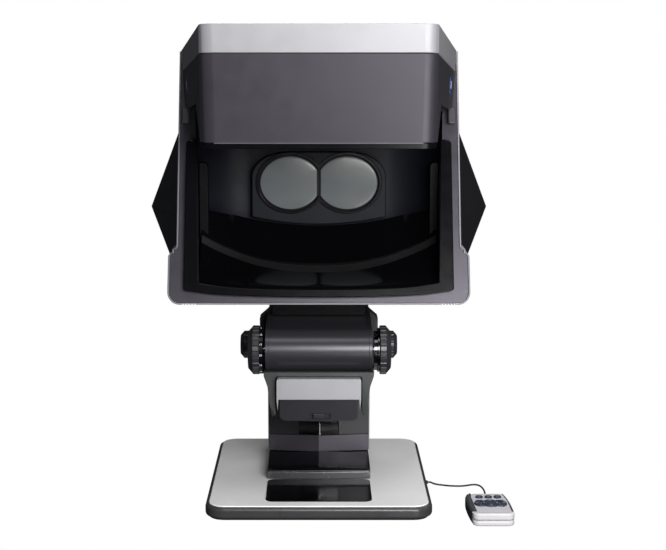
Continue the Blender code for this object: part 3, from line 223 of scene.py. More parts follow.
# Painted highlight: the hood lip's bead, lighter than the cover it edges, draws the highlight line
# along the lip.
LIP_HIGHLIGHT = paint("lip_bead_painted_highlight", (0.12, 0.11, 0.13), 0.40, 0.6, 0.0)
RIB_BLACK = paint("knob_grip_plastic", (0.024, 0.024, 0.028), 0.34, 0.0, MOULDED)
LIGHT_PLATE = paint("light_plate_paint", (0.90, 0.895, 0.89), 0.42, 0.0, MOULDED)
HANDSET_LIGHT = paint("handset_light_plastic", (0.60, 0.585, 0.615), 0.45, 0.0, MOULDED)
HANDSET_WHITE = paint("handset_nose_plastic", (0.56, 0.55, 0.56), 0.40, 0.0, MOULDED)
HANDSET_GRIP = paint("handset_grip_rubber", (0.040, 0.045, 0.050), 0.6, 0.0, 0.00008, 1100)
KEY = paint("navy_key_plastic", (0.022, 0.032, 0.055), 0.35)
KEY_MARK = paint("key_mark_print", (0.25, 0.30, 0.42), 0.5)
WHITE_PRINT = paint("white_dial_print", (0.80, 0.80, 0.82), 0.5)
BLUE_PRINT = paint("blue_accent_print", (0.02, 0.10, 0.38), 0.4)
CORD_RUBBER = paint("black_cord_sheath", (0.010, 0.010, 0.011), 0.5, 0.0, 0.00005, 900)
RUBBER_MAT = paint("black_rubber_mat", (0.010, 0.010, 0.010), 0.85, 0.0, 0.00012, 700)


def make_glowing_pupil():
    """Grey-green exit pupil with a painted glow: a weak emission lights the discs that sit in the
    hood's shade; the tone varies at random.
    """
    shader = Shader("exit_pupil_glass_painted_glow", (0.115, 0.125, 0.120), 0.22, 0.0, 0.25)
    ramp = shader.nodes.new("ShaderNodeValToRGB")
    ramp.color_ramp.elements[0].color = (0.084, 0.092, 0.096, 1)
    ramp.color_ramp.elements[1].color = (0.104, 0.111, 0.108, 1)
    shader.links.new(shader.spread(shader.noise(14, 1.0, (1, 1, 2.4)), 0, 1), ramp.inputs["Fac"])
    for socket in ("Base Color", "Emission Color"):
        shader.feed(socket, ramp.outputs["Color"])
    return shader.set("Emission Strength", 0.22).material


STEEL = Shader("brushed_steel", (0.58, 0.58, 0.60), 0.26, 1.0)
STEEL = STEEL.uneven(300, 0.25, LENGTHWISE).grain(900, MOULDED, LENGTHWISE).material
# Painted shade: the zoom hub's polished steel is made far darker than steel, for the shade it sits in
# between barrel and knob.
HUB_STEEL_SHADED = Shader("polished_hub_steel_painted_shade", (0.07, 0.07, 0.075), 0.16, 1.0).uneven(60, 0.3).material
BARREL_PAINT = Shader("barrel_satin_paint", (0.046, 0.044, 0.051), 0.30, 0.5)
BARREL_PAINT = BARREL_PAINT.mottle(6, 0.04).material
GLOSS = Shader("black_mirror_gloss", (0.0022, 0.0022, 0.0028), 0.10, 0.0, 0.45)
GLOSS = GLOSS.uneven(24, 0.30).mottle(6, 0.10).material
PANEL_GLOSS = Shader("black_panel_gloss", (0.0018, 0.0018, 0.0022), 0.14, 0.0, 0.10)
PANEL_GLOSS = PANEL_GLOSS.uneven(30, 0.25).material
# The exit pupils' material carries a painted glow.
PUPIL_GLOW = make_glowing_pupil()
LENS_GLASS = Shader("coated_lens_glass", (0.05, 0.06, 0.09), 0.05, 0.0, 0.6)
LENS_GLASS = LENS_GLASS.mottle(30, 0.2, (0.8, 0.9, 1.4)).coat(1.0, 0.03).material

# --- shape helpers ---


def arc(centre, radius, start, end, steps):
    """Points on an arc, angles in degrees; radius is one number or a pair for an ellipse."""
    across, up = radius if isinstance(radius, tuple) else (radius, radius)
    points = []
    for i in range(steps + 1):
        angle = radians(start + (end - start) * i / steps)
        points.append((centre[0] + across * cos(angle), centre[1] + up * sin(angle)))
    return points


def mirrored(points):
    """A right-hand outline and its mirror image, as one closed outline."""
    return points + [(-x, y) for x, y in reversed(points)]


def round_rect(left, right, bottom, top, radius, steps):
    """A rectangle with rounded corners, each of so many steps."""
    corners = (
        (right - radius, bottom + radius, -90),
        (right - radius, top - radius, 0),
        (left + radius, top - radius, 90),
        (left + radius, bottom + radius, 180),
    )
    points = []
    for x, y, start in corners:
        points += arc((x, y), radius, start, start + 90, steps)
    return points


def add_object(name, mesh, material):
    obj = linked(bpy.data.objects.new(name, mesh))
    if material:
        mesh.materials.append(material)
    return obj


def object_of(name, bm, material):
    bmesh.ops.recalc_face_normals(bm, faces=bm.faces)
    mesh = bpy.data.meshes.new(name)
    bm.to_mesh(mesh)
    bm.free()
    return add_object(name, mesh, material)


def shaded(obj, angle=32.0):
    """Smooth faces with sharp edges kept, and normals that leave flat faces flat."""
    obj.data.shade_smooth()
    obj.data.set_sharp_from_angle(angle=radians(angle))
    weighted = obj.modifiers.new("even_normals", "WEIGHTED_NORMAL")
    weighted.keep_sharp = True
    return obj


def realised(obj):
    """The mesh that the object's modifiers or its curve leave."""
    bpy.context.view_layer.update()
    evaluated = obj.evaluated_get(bpy.context.evaluated_depsgraph_get())
    return bpy.data.meshes.new_from_object(evaluated)


def applied(obj):
    """The object with its modifiers made real."""
    mesh = realised(obj)
    obj.modifiers.clear()
    obj.data = mesh
    return obj


def prism(name, outline, low, high, basis, material=None):
    """A flat outline extruded along its frame's third axis, from low to high."""
    bm = bmesh.new()
    bottom = [bm.verts.new((x, y, low)) for x, y in outline]
    top = [bm.verts.new((x, y, high)) for x, y in outline]
    bm.faces.new(list(reversed(bottom)))
    bm.faces.new(top)
    for i, vert in enumerate(bottom):
        after = (i + 1) % len(bottom)
        bm.faces.new((vert, bottom[after], top[after], top[i]))
    bm.transform(basis)
    return object_of(name, bm, material)


def merged(objects):
    """One object made of these, which are removed."""
    bm = bmesh.new()
    for obj in objects:
        mesh = obj.data.copy()
        mesh.transform(obj.matrix_world)
        bm.from_mesh(mesh)
        bpy.data.meshes.remove(mesh)
    keep, others = objects[0], objects[1:]
    keep.matrix_world = Matrix.Identity(4)
    bm.to_mesh(keep.data)
    bm.free()
    for obj in others:
        bpy.data.objects.remove(obj)
    return keep


def carved(obj, cutters):
    """The object with the cutters taken out of it one after another, and the cutters removed."""
    for cutter in cutters:
        boolean = obj.modifiers.new("cut", "BOOLEAN")
        boolean.operation, boolean.solver = "DIFFERENCE", "EXACT"
        boolean.object = cutter
    applied(obj)
    for cutter in cutters:
        bpy.data.objects.remove(cutter)
    return obj


def rounded(obj, width, segments=3, angle=30.0):
    bevel = obj.modifiers.new("edge_round", "BEVEL")
    bevel.width = width
    bevel.segments = segments
    bevel.limit_method = "ANGLE"
    bevel.angle_limit = radians(angle)
    bevel.harden_normals = False
    return shaded(obj)


def slice_off(obj, point, normal):
    """Cuts a closed mesh with a plane and drops what lies on the normal's side."""
    bm = bmesh.new()
    bm.from_mesh(obj.data)
    geometry = bm.verts[:] + bm.edges[:] + bm.faces[:]
    cut = bmesh.ops.bisect_plane(
        bm, geom=geometry, plane_co=point, plane_no=normal, clear_outer=True
    )
    edges = [item for item in cut["geom_cut"] if isinstance(item, bmesh.types.BMEdge)]
    bmesh.ops.edgeloop_fill(bm, edges=edges)
    bmesh.ops.recalc_face_normals(bm, faces=bm.faces)
    bm.to_mesh(obj.data)
    bm.free()
    return obj


def loft(name, loops, material, closed=False):
    """A skin over closed loops with as many points each; capped, or closed on itself."""
    bm = bmesh.new()
    rows = [[bm.verts.new(point) for point in loop] for loop in loops]
    pairs = list(zip(rows, rows[1:]))
    if closed:
        pairs.append((rows[-1], rows[0]))
    else:
        bm.faces.new(list(reversed(rows[0])))
        bm.faces.new(rows[-1])
    for near, far in pairs:
        for i, vert in enumerate(near):
            after = (i + 1) % len(near)
            bm.faces.new((vert, near[after], far[after], far[i]))
    return object_of(name, bm, material)


def frame_loop(outline, depth, basis):
    return [basis @ Vector((x, y, depth)) for x, y in outline]


def rimmed(name, outline, low, high, soft, basis, material, steps=4, closed_low=False):
    """A plate from outline(grow), its upper edge rounded, and its lower edge too if closed_low."""
    profile = [(0.0, low)]
    if closed_low:
        profile = arc((-soft, low + soft), soft, -90, 0, steps)
    profile += arc((-soft, high - soft), soft, 0, 90, steps)
    loops = [frame_loop(outline(grow), depth, basis) for grow, depth in profile]
    return shaded(loft(name, loops, material), 40)


def turned(name, profile, centre, axis, material, steps=64, ribs=0, groove=0.0, zone=(0, 0)):
    """A profile of (radius, height) turned about the axis, with grooves along it in the zone."""
    rotate = Z.rotation_difference(axis).to_matrix().to_4x4()
    place = Matrix.Translation(centre) @ rotate
    if ribs:
        steps = ribs * 8
    loops = []
    for radius, height in profile:
        loop = []
        for i in range(steps):
            angle = 2 * pi * i / steps
            sunk = ribs and zone[0] <= height <= zone[1] and i % 8 == 0
            r = radius - groove if sunk else radius
            loop.append(place @ Vector((r * cos(angle), r * sin(angle), height)))
        loops.append(loop)
    closed = profile[0][0] > 0.0021 and profile[-1] == profile[0]
    return shaded(loft(name, loops[:-1] if closed else loops, material, closed), 28)


def ride(obj, body, nodes=()):
    """The piece on its body, standing for these nodes, which are hidden."""
    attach(obj, body)
    if nodes:
        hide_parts(*nodes)
    return obj


def text_mesh(name, letters, size, thick, material):
    curve = bpy.data.curves.new(name, "FONT")
    curve.body = letters
    curve.size = size
    curve.extrude = thick
    curve.align_x = "CENTER"
    curve.align_y = "CENTER"
    curve.resolution_u = 3
    holder = linked(bpy.data.objects.new(name, curve))
    mesh = realised(holder)
    bpy.data.objects.remove(holder)
    return add_object(name, mesh, material)


# --- handset cord ---

CORD_DIAMETER = 0.0028
CORD_EXIT = (0.1765, -0.0240, 0.0080)
HANDSET_BACK = -0.126


def cord_route():
    """The cord's centre line: out of the base, down and along the table to the handset."""
    lie = CORD_DIAMETER / 2 + 0.0001
    x, y, z = CORD_EXIT
    entry_y = HANDSET_BACK + 0.001 + GAP
    leaving = [(x, y, z), (x + 0.0040, y + 0.0001, z - 0.0001)]
    leaving += [(x + 0.0095, y + 0.0034, z - 0.0034), (x + 0.0150, y + 0.0062, lie + 0.0010)]
    lying = [(0.1975, -0.0174), (0.2125, -0.0226), (0.2286, -0.0238), (0.2390, -0.0208)]
    lying += [(0.2468, -0.0170), (0.2545, -0.0166), (0.2602, -0.0228), (0.2630, -0.0340)]
    lying += [(0.2642, -0.0480), (0.2638, -0.0640), (0.2624, -0.0800)]
    rising = [(0.2608, -0.0960, lie + 0.0008), (0.2599, -0.1080, lie + 0.0024)]
    rising += [(0.2595, entry_y + 0.006, 0.0058), (0.2595, entry_y, 0.0060)]
    return leaving + [(x, y, lie) for x, y in lying] + rising


def catmull_rom(points, steps):
    nodes = [Vector(p) for p in points]
    padded = [2 * nodes[0] - nodes[1]] + nodes + [2 * nodes[-1] - nodes[-2]]
    path = []
    for a, b, c, d in zip(padded, padded[1:], padded[2:], padded[3:]):
        for i in range(steps):
            t = i / steps
            even = 2 * b + (c - a) * t
            bend = (2 * a - 5 * b + 4 * c - d) * t * t + (3 * b - 3 * c + d - a) * t**3
            path.append(0.5 * (even + bend))
    path.append(nodes[-1])
    return path


def make_cord():
    path = catmull_rom(cord_route(), 6)
    curve = bpy.data.curves.new("handset_cord_sheath", "CURVE")
    curve.dimensions = "3D"
    curve.bevel_depth = CORD_DIAMETER / 2
    curve.bevel_resolution = 5
    curve.use_fill_caps = True
    spline = curve.splines.new("POLY")
    spline.points.add(len(path) - 1)
    for point, place in zip(spline.points, path):
        point.co = (*place, 1)
    spline.use_smooth = True
    cord = linked(bpy.data.objects.new("handset_cord_sheath", curve))
    curve.materials.append(CORD_RUBBER)
    ride(cord, STAND, ["handset_cord"])
    x, y, z = CORD_EXIT
    wall = 0.172
    reach = x - GAP - wall
    profile = [(0.0001, GAP), (0.0037, GAP), (0.0037, 0.0010), (0.0034, 0.0014)]
    profile += [(0.0030, 0.0015), (0.0030, 0.0019), (0.0033, 0.0020), (0.0031, 0.0026)]
    profile += [(0.0026, 0.0027), (0.0026, 0.0031), (0.0028, 0.0032)]
    profile += [(0.0024, reach), (0.0001, reach)]
    gland = turned("cord_strain_relief", profile, (wall, y, z), X, CORD_RUBBER, 32)
    ride(gland, STAND, ["cord_gland"])


make_cord()

# --- head: fascia, trim and bezel ---


def face_outline(grow):
    """The face's outline, wider below its side steps; grow widens it all round."""
    lower, upper = FASCIA_LOWER_HALF + grow, FASCIA_UPPER_HALF + grow
    bottom, top = FASCIA_BOTTOM - grow, FASCIA_TOP + grow
    radius = FASCIA_CORNER + grow
    right = arc((lower - radius, bottom + radius), radius, -90, 0, 14)
    bend = ((lower - upper) / 2, 0.007)
    right += arc((lower - bend[0], STEP_LOW), bend, 0, 90, 8)[1:]
    right += arc((upper + bend[0], STEP_HIGH), bend, 270, 180, 8)
    right += [(upper + 0.0005, top)]
    return mirrored(right)


def opening_outline():
    return mirrored([(0.185, 0.337), (0.192, 0.604)])


def make_fascia():
    panel = rimmed("fascia_cover", face_outline, -0.005, 0.0, 0.0008, FACE, FASCIA_PAINT, 3)
    hole = prism("hole", opening_outline(), -0.02, 0.02, FACE)
    carved(panel, [hole])
    shaded(panel)
    ride(panel, HEAD, ["fascia_panel"])


def make_trim():
    """The silver shell's edge, with its vent notches and cover seams, and the shell's back."""
    front, edge, back = 0.0008, 0.0030, -SHELL_BACK - 0.0006
    rim = [(GAP, -0.0042), (GAP, front - 0.0006), (0.0008, front)]
    rim += arc((TRIM - edge, front - edge), edge, 76, 0, 6)
    rim += [(TRIM, -SHELL_BACK), (TRIM - 0.0012, back), (GAP, back)]
    loops = [frame_loop(face_outline(grow), depth, FACE) for grow, depth in rim]
    trim = loft("silver_edge_trim", loops, SILVER, closed=True)
    notches = []
    bottom, notch, pitch, seam = FASCIA_BOTTOM - TRIM, 0.0012, 0.0046, 0.0003
    below = bottom - 0.002
    for side in (-1, 1):
        for i in range(5):
            x = side * (0.1875 + pitch * i)
            outline = round_rect(x - notch, x + notch, below, bottom + 0.0022, 0.0008, 3)
            notches.append(prism("notch", outline, -0.012, 0.003, FACE))
        x, above = side * 0.1225, bottom + 0.0040
        outline = [(x - seam, below), (x + seam, below), (x + seam, above), (x - seam, above)]
        notches.append(prism("seam", outline, -0.05, 0.003, FACE))
    carved(trim, [merged(notches)])
    shaded(trim, 30)
    ride(trim, HEAD, ["head_shell"])

    outline, high = face_outline(TRIM - 0.0010), -SHELL_BACK + 0.004
    plate = prism("head_shell_back", outline, -SHELL_BACK, high, FACE, SILVER)
    mouth = mirrored([(0.2028, 0.3222), (0.2113, 0.437), (0.1758, 0.6893)])
    carved(plate, [prism("mouth", mouth, -0.1, 0.05, FACE)])
    ride(shaded(plate), HEAD, ())


def bezel_outline(half, low_half, bottom, top, radius):
    sag = 0.009
    right = arc((0, bottom), (low_half * 0.92, sag), -90, -30, 12)
    right += arc((low_half - radius, bottom + radius * 0.5), (radius, radius * 0.5), -60, 0, 5)
    right += arc((half - radius, top - radius), radius, 0, 90, 6)
    return mirrored(right)


def make_bezel():
    """A U-shaped tray rim with soft edges, open at the top where the hood covers it."""
    outer = bezel_outline(0.204, 0.204, 0.339, 0.561, 0.007)
    bezel = prism("tray_rim", outer, GAP, 0.014, FACE, BLACK)
    inner = bezel_outline(0.189, 0.181, 0.350, 0.620, 0.004)
    carved(bezel, [prism("inner", inner, -0.02, 0.04, FACE)])
    rounded(bezel, 0.0022, 4, 40)
    ride(bezel, HEAD, ["tray_bezel"])


make_fascia()
make_trim()
make_bezel()

# --- head: hood ---


def hood_profile(inset):
    """The hood's side view; the inset profile is the hollow's and runs out underneath."""
    front = Vector((HOOD_FRONT_Y - HOOD_LIP_Y, HOOD_FRONT_Z - HOOD_LIP_Z)).normalized()
    slope = (HOOD_REAR_Z - HOOD_FRONT_Z) / (HOOD_REAR_Y - HOOD_FRONT_Y)
    rear_y, below = HOOD_REAR_Y + 0.08, inset * 4
    lip = Vector((HOOD_LIP_Y + inset, HOOD_LIP_Z)) - front * below
    brow_z = HOOD_FRONT_Z - inset
    brow = Vector((HOOD_FRONT_Y + inset, brow_z + slope * inset))
    return [
        tuple(lip),
        tuple(brow),
        (rear_y, brow_z + slope * (rear_y - HOOD_FRONT_Y)),
        (rear_y, CHEEK_REAR_Z - below),
        (face_y(CHEEK_REAR_Z), CHEEK_REAR_Z - below),
        (CHEEK_Y + inset, CHEEK_Z - below),
        (SOFFIT_Y + inset, SOFFIT_Z - below),
    ]


def hood_corners(side):
    """The front top, rear top and lip corners of the hood on this side."""
    return (
        Vector((side * HOOD_FRONT_HALF, HOOD_FRONT_Y, HOOD_FRONT_Z)),
        Vector((side * HOOD_REAR_HALF, HOOD_REAR_Y, HOOD_REAR_Z)),
        Vector((side * HOOD_LIP_HALF, HOOD_LIP_Y, HOOD_LIP_Z)),
    )


def cheek_plane(side, inset):
    front, rear, lip = hood_corners(side)
    normal = (rear - front).cross(lip - front).normalized()
    if normal.x * side < 0:
        normal = -normal
    return front - normal * inset, normal


def face_plane(offset):
    return Vector((0, FACE_Y - offset, FACE_Z)), (Y - Z * FACE_SLOPE).normalized()


def split_plane():
    front = Vector((0, HOOD_FRONT_Y, SPLIT_FRONT_Z))
    rear = Vector((0, HOOD_REAR_Y, SPLIT_REAR_Z))
    return front, (rear - front).cross(-X).normalized()


def roll_planes(side, inset):
    """Planes that roll an upright front edge back in a flat ellipse, from front to cheek."""
    steps = 9
    top, _, lip = hood_corners(side)
    out = X * side
    forward = (lip - top).cross(out).normalized() * side
    across, depth = HOOD_ROLL
    planes = []
    for i in range(steps):
        angle = radians(HOOD_ROLL_END * (i + 0.5) / steps)
        lean = out * (sin(angle) / across) + forward * (cos(angle) / depth)
        normal = lean.normalized()
        back = out * across * (1 - sin(angle)) + forward * depth * (1 - cos(angle))
        planes.append((top - back - normal * inset, normal))
    return planes


def hood_solid(name, inset, material=None, planes=()):
    """The hood's outside or, inset, its hollow; cut by these (point, normal) planes too."""
    solid = prism(name, hood_profile(inset), -0.26, 0.26, SIDE, material)
    sides = [[cheek_plane(side, inset)] + roll_planes(side, inset) for side in (-1, 1)]
    for plane in sides[0] + sides[1] + list(planes):
        slice_off(solid, *plane)
    return solid


def make_hood():
    """The painted cover, its silver top, the dark joint between them, the lip, and a rounded bead
    along it that is painted lighter than the cover as the lip's highlight.
    """
    point, normal = split_plane()
    shadow_gap, joint_half, face, strip_z = 0.0011, 0.004, face_plane(0.0012), HOOD_LIP_Z + 0.0052
    above = [(point - normal * shadow_gap, normal), face, (Z * strip_z, -Z)]
    cover = hood_solid("hood_lower_shell", 0, GUNMETAL, above)
    top = hood_solid("hood_silver_shell", 0, SILVER, [(point, -normal), face])
    for shell in (cover, top):
        carved(shell, [hood_solid("hollow", HOOD_WALL)])
        rounded(shell, 0.0008, 2, 40)
        shell.data.set_sharp_from_angle(angle=radians(18))
    ride(cover, HEAD, ["hood_cover"])
    ride(top, HEAD, ["hood_top_cover"])

    reach = normal * joint_half
    band = [(point + reach, normal), (point - reach, -normal), face_plane(joint_half)]
    ride(shaded(hood_solid("hood_joint_strip", 0.0022, DEEP, band)), HEAD)

    below = [(Z * (strip_z - 0.0006), Z), (Y * (SOFFIT_Y - 0.001), Y)]
    ride(rounded(hood_solid("hood_lip_strip", 0.0010, BLACK, below), 0.0010, 3, 40), HEAD)
    bead_z = strip_z - 0.0004
    bead_y = HOOD_LIP_Y - (bead_z - HOOD_LIP_Z) * 0.2235
    bead = arc((bead_y + 0.0010, bead_z), 0.0012, 0, 330, 11)
    ride(shaded(prism("hood_lip_bead", bead, -0.147, 0.147, SIDE, LIP_HIGHLIGHT), 50), HEAD)


def make_hood_trim():
    """The dark pull-down tabs behind the cheeks' cut-outs, and a small accent label on each."""
    for side, hand in SIDES:
        low, high = sorted((side * 0.1993, side * 0.2109))
        outline = round_rect(low, high, 0.586, 0.610, 0.0015, 4)
        tab = prism(f"cheek_tab_{hand}", outline, GAP, 0.020, FACE, GUNMETAL_PLASTIC)
        rounded(tab, 0.0018, 3)
        ride(tab, HEAD)
        point, normal = cheek_plane(side, 0)
        along = Y - normal * normal.y
        along.normalize()
        up = along.cross(normal) * side
        if up.z < 0:
            up = -up
        for part, material, start, width, height in (
            ("accent", BLUE_PRINT, 0.216, 0.012, 0.026),
            ("badge", HANDSET_LIGHT, 0.230, 0.008, 0.012),
        ):
            centre = point + along * start - up * 0.088 + normal * 0.0001
            basis = basis_at(centre, along, up, normal)
            shape = round_rect(-width / 2, width / 2, -height / 2, height / 2, 0.0012, 3)
            ride(prism(f"cheek_{part}_{hand}", shape, 0, 0.0003, basis, material), HEAD)


make_hood()
make_hood_trim()

# --- head: viewing cavity, mirror and pupils ---

MIRROR_FRONT_Z, MIRROR_RISE, MIRROR_BACK_Y, MIRROR_HALF = 0.340, 0.078, 0.0360, 0.1835
LENS_FRONT, LENS_BACK = 0.040, 0.0615
LENS_HALF, LENS_BOTTOM, LENS_TOP, LENS_ROUND, LENS_SAG = 0.108, 0.4190, 0.536, 0.040, 0.0120
PUPIL_X, PUPIL_Z, PUPIL_RADII, PUPIL_SPLIT = 0.0455, 0.4862, (0.0490, 0.0427), 0.0026


def kept(node, material):
    """A CAD node that stays as it is, with a finish."""
    NODES[node].material_slots[0].material = material


def refined(node, body, material, width, segments=3, angle=30.0, cutters=()):
    """A finer copy of a CAD node, the cutters taken out of it and its edges rounded."""
    mesh = NODES[node].data.copy()
    mesh.materials.clear()
    obj = add_object(node + "_shell", mesh, material)
    bm = bmesh.new()
    bm.from_mesh(mesh)
    bmesh.ops.remove_doubles(bm, verts=bm.verts, dist=0.000002)
    bmesh.ops.dissolve_limit(
        bm, angle_limit=radians(0.6), verts=bm.verts, edges=bm.edges, delimit=set()
    )
    bm.to_mesh(mesh)
    bm.free()
    mesh.normals_split_custom_set([(0, 0, 0)] * len(mesh.loops))
    if cutters:
        carved(obj, cutters)
    if width:
        rounded(obj, width, segments, angle)
    else:
        shaded(obj, angle)
    return ride(obj, body, [node])


def mirror_point(x, t, lift):
    """A place on the dish, t from its front to its back; its sides bow up and come forward."""
    bow = 0.33 + 0.61 * t
    z = MIRROR_FRONT_Z + MIRROR_RISE * t**1.35 + bow * x * x
    front = face_y(z) + 0.011
    side = max(0.0, abs(x) / MIRROR_HALF - 0.72) / 0.28
    back = MIRROR_BACK_Y - 0.037 * side
    return Vector((x, front + (back - front) * t, z + lift))


def mirror_edge(x):
    """How far up the dish, 0 to 1, the mirror's front edge lies: a bow that climbs outward."""
    return 0.455 + 0.233 * (abs(x) / MIRROR_HALF) ** 2.6


def tray_edge(x):
    """How far up the dish the tray lip in front of the mirror reaches."""
    return 0.310 + 0.268 * (abs(x) / MIRROR_HALF) ** 2.3


def mirror_sheet(name, start, end, material, lift, thick, along, nodes=()):
    """A sheet that follows the dish between two edges, each a share of the way for each x."""
    across = 72
    bm = bmesh.new()
    rows = []
    for j in range(along + 1):
        row = []
        for i in range(across + 1):
            x = MIRROR_HALF * (2 * i / across - 1)
            t = start(x) + (end(x) - start(x)) * j / along
            row.append(bm.verts.new(mirror_point(x, t, lift)))
        rows.append(row)
    for near, far in zip(rows, rows[1:]):
        for i in range(across):
            bm.faces.new((near[i], near[i + 1], far[i + 1], far[i]))
    mesh = bpy.data.meshes.new(name)
    bm.to_mesh(mesh)
    bm.free()
    obj = add_object(name, mesh, material)
    solid = obj.modifiers.new("thickness", "SOLIDIFY")
    solid.thickness = thick
    solid.offset = -1
    applied(obj)
    ride(shaded(obj, 40), HEAD, nodes)


def make_mirror():
    """The dished mirror, the tray lip in front of it, and the gutter between them."""
    under, sunk = 0.02, -0.0046
    node = ["stereo_mirror"]
    mirror_sheet("stereo_mirror_dish", mirror_edge, lambda x: 1.0, GLOSS, 0, 0.004, 24, node)
    mirror_sheet("mirror_tray_lip", lambda x: 0.0, tray_edge, GLOSS, 0, 0.004, 12)
    near, far = lambda x: tray_edge(x) - under, lambda x: mirror_edge(x) + under
    mirror_sheet("mirror_gutter", near, far, DEEP, sunk, 0.002, 3)


def pupil_outline(side, grow):
    radii = (PUPIL_RADII[0] + grow, PUPIL_RADII[1] + grow)
    limit = (PUPIL_X - PUPIL_SPLIT + grow) / radii[0]
    angle = degrees(acos(limit))
    points = arc((PUPIL_X, PUPIL_Z), radii, -180 + angle, 180 - angle, 48)
    return [(side * x, z) for x, z in points]


def figure_eight(grow):
    """The outline of both pupils together, grown, with its two waists on the centre line."""
    radii = (PUPIL_RADII[0] + grow, PUPIL_RADII[1] + grow)
    angle = degrees(acos(PUPIL_X / radii[0]))
    return mirrored(arc((PUPIL_X, PUPIL_Z), radii, -180 + angle, 180 - angle, 40))


def lens_block_outline(grow):
    half = LENS_HALF + grow
    steps = 12
    bottom = [
        (half * i / steps, LENS_BOTTOM - grow + LENS_SAG * (i / steps) ** 2)
        for i in range(1, steps + 1)
    ]
    radii = (LENS_ROUND * 1.5 + grow, LENS_ROUND + grow)
    crown = arc((LENS_HALF - LENS_ROUND * 1.5, LENS_TOP - LENS_ROUND), radii, 0, 90, 18)
    return mirrored(bottom + crown) + [(0, LENS_BOTTOM - grow)]


def make_pupils():
    """The lens block, the collar round both pupils, and the two slightly domed discs."""
    front, rim = -LENS_FRONT, 0.0024
    low, high = -LENS_BACK, front - rim
    block = rimmed("lens_block_face", lens_block_outline, low, high, 0.002, ELEVATION, CAVITY)
    collar = prism("pupil_collar", figure_eight(0.0072), high - 0.001, front, ELEVATION, BLACK)
    for obj in (collar, block):
        carved(obj, [prism("seat", figure_eight(0.0024), front - 0.0085, 0, ELEVATION)])
    shaded(block)
    rounded(collar, 0.0009, 3, 40)
    ride(block, HEAD, ["lens_block"])
    ride(collar, HEAD, ())
    dome = [(1.0, -0.0050), (1.0, -0.0022), (0.992, -0.0016), (0.975, -0.0013)]
    dome += [(0.90, -0.0010), (0.70, -0.0006), (0.40, -0.0003), (0.02, -0.0002)]
    for side, hand in SIDES:
        loops = []
        centre = Vector((side * PUPIL_X, PUPIL_Z))
        for share, depth in dome:
            points = [centre + (Vector(p) - centre) * share for p in pupil_outline(side, -GAP)]
            loops.append(frame_loop(points, front + depth, ELEVATION))
        disc = loft(f"exit_pupil_{hand}", loops, PUPIL_GLOW)
        ride(shaded(disc, 50), HEAD, [f"pupil_lens_{hand}"])


def make_cavity_posts():
    """Posts beside the mirror, each with a rounded inner shoulder."""
    bottom, top, shoulder = 0.405, 0.524, 0.007
    for side, hand in SIDES:
        outer, inner, across = side * 0.1875, side * 0.1735, side * shoulder
        outline = [(inner, bottom), (outer, bottom), (outer, top)]
        outline += arc((inner + across, top - shoulder), (across, shoulder), 90, 180, 6)
        post = prism(f"cavity_post_{hand}", outline, 0.004, 0.020, ELEVATION, POST_BLACK)
        rounded(post, 0.0012, 3, 40)
        ride(post, HEAD)


for cavity_node in ("cavity_shroud", "cavity_roof"):
    refined(cavity_node, HEAD, CAVITY, 0.0)
make_mirror()
make_pupils()
make_cavity_posts()
kept("hood_liner", DEEP)
for projector in ("projector_left", "projector_right"):
    kept(projector, BLACK_METAL)

# --- rear housing ---

REAR_Y, REAR_Z, REAR_SLOPE = 0.2999, 0.4373, 0.1725


def rear_frame(x, z):
    """A frame on the upper rear housing's back, which leans forward by REAR_SLOPE."""
    normal = (Y + Z * REAR_SLOPE).normalized()
    place = (x, REAR_Y - REAR_SLOPE * (z - REAR_Z), z)
    return basis_at(place, -X, normal.cross(-X), normal)


def corners_at(half, low, high):
    return ((-half, low), (half, low), (-half, high), (half, high))


def screw_head(name, radius, low, high, basis):
    """A round steel head with a hexagon socket."""
    head = prism(name, arc((0, 0), radius, 0, 350, 35), low, high, basis, STEEL)
    hexagon = arc((0, 0), radius * 0.5, 0, 300, 5)
    carved(head, [prism("socket", hexagon, high - 0.0006, high + 0.001, basis)])
    return rounded(head, 0.00025, 2, 40)


def make_rear():
    """The rear housing, with louvres and sunk screws in its back, and the socket panel."""
    upper, *_ = [
        refined(f"rear_housing_{half}", HEAD, REAR_BLACK, 0.003, 4, 12)
        for half in ("upper", "lower")
    ]
    refined("connector_panel", HEAD, CHARCOAL, 0.0006, 2)
    cutters, clear = [], 0.003
    louvre = round_rect(-0.030, 0.030, -0.0014, 0.0014, 0.0013, 3)
    for x in (-0.055, 0.055):
        for i in range(6):
            place = rear_frame(x, 0.556 + 0.008 * i)
            cutters.append(prism("louvre", louvre, -0.0018, clear, place))
    bore = arc((0, 0), 0.0043, 0, 350, 35)
    for i, (x, z) in enumerate(corners_at(0.125, 0.470, 0.590)):
        place = rear_frame(x, z)
        cutters.append(prism("counterbore", bore, -0.0017, clear, place))
        ride(screw_head(f"rear_screw_{i}", 0.0037, -0.0015, -0.0004, place), HEAD)
    carved(upper, [merged(cutters)])


make_rear()

# --- carriage: block, neck, barrel, knobs ---

FOCUS_AXIS = Vector((0, 0.018, 0.2265))
ZOOM_AXIS = Vector((0, -0.120, 0.2465))
BARREL_RADIUS, BARREL_HALF, BARREL_FLAT, BARREL_BACK = 0.0335, 0.0805, 0.2185, 0.0077
SLOPE_TOP = (-0.052, 0.2865)
KNOB_RADIUS, FOCUS_RADIUS = 0.0372, 0.0222


def barrel_outline(grow):
    radius = BARREL_RADIUS + grow
    drop = degrees(asin((ZOOM_AXIS.z - BARREL_FLAT - grow) / radius))
    front = arc((ZOOM_AXIS.y, ZOOM_AXIS.z), radius, 84, 180 + drop, 48)
    slope_y, top = SLOPE_TOP[0], SLOPE_TOP[1] + grow
    return front + [(BARREL_BACK, BARREL_FLAT - grow), (BARREL_BACK, top), (slope_y, top)]


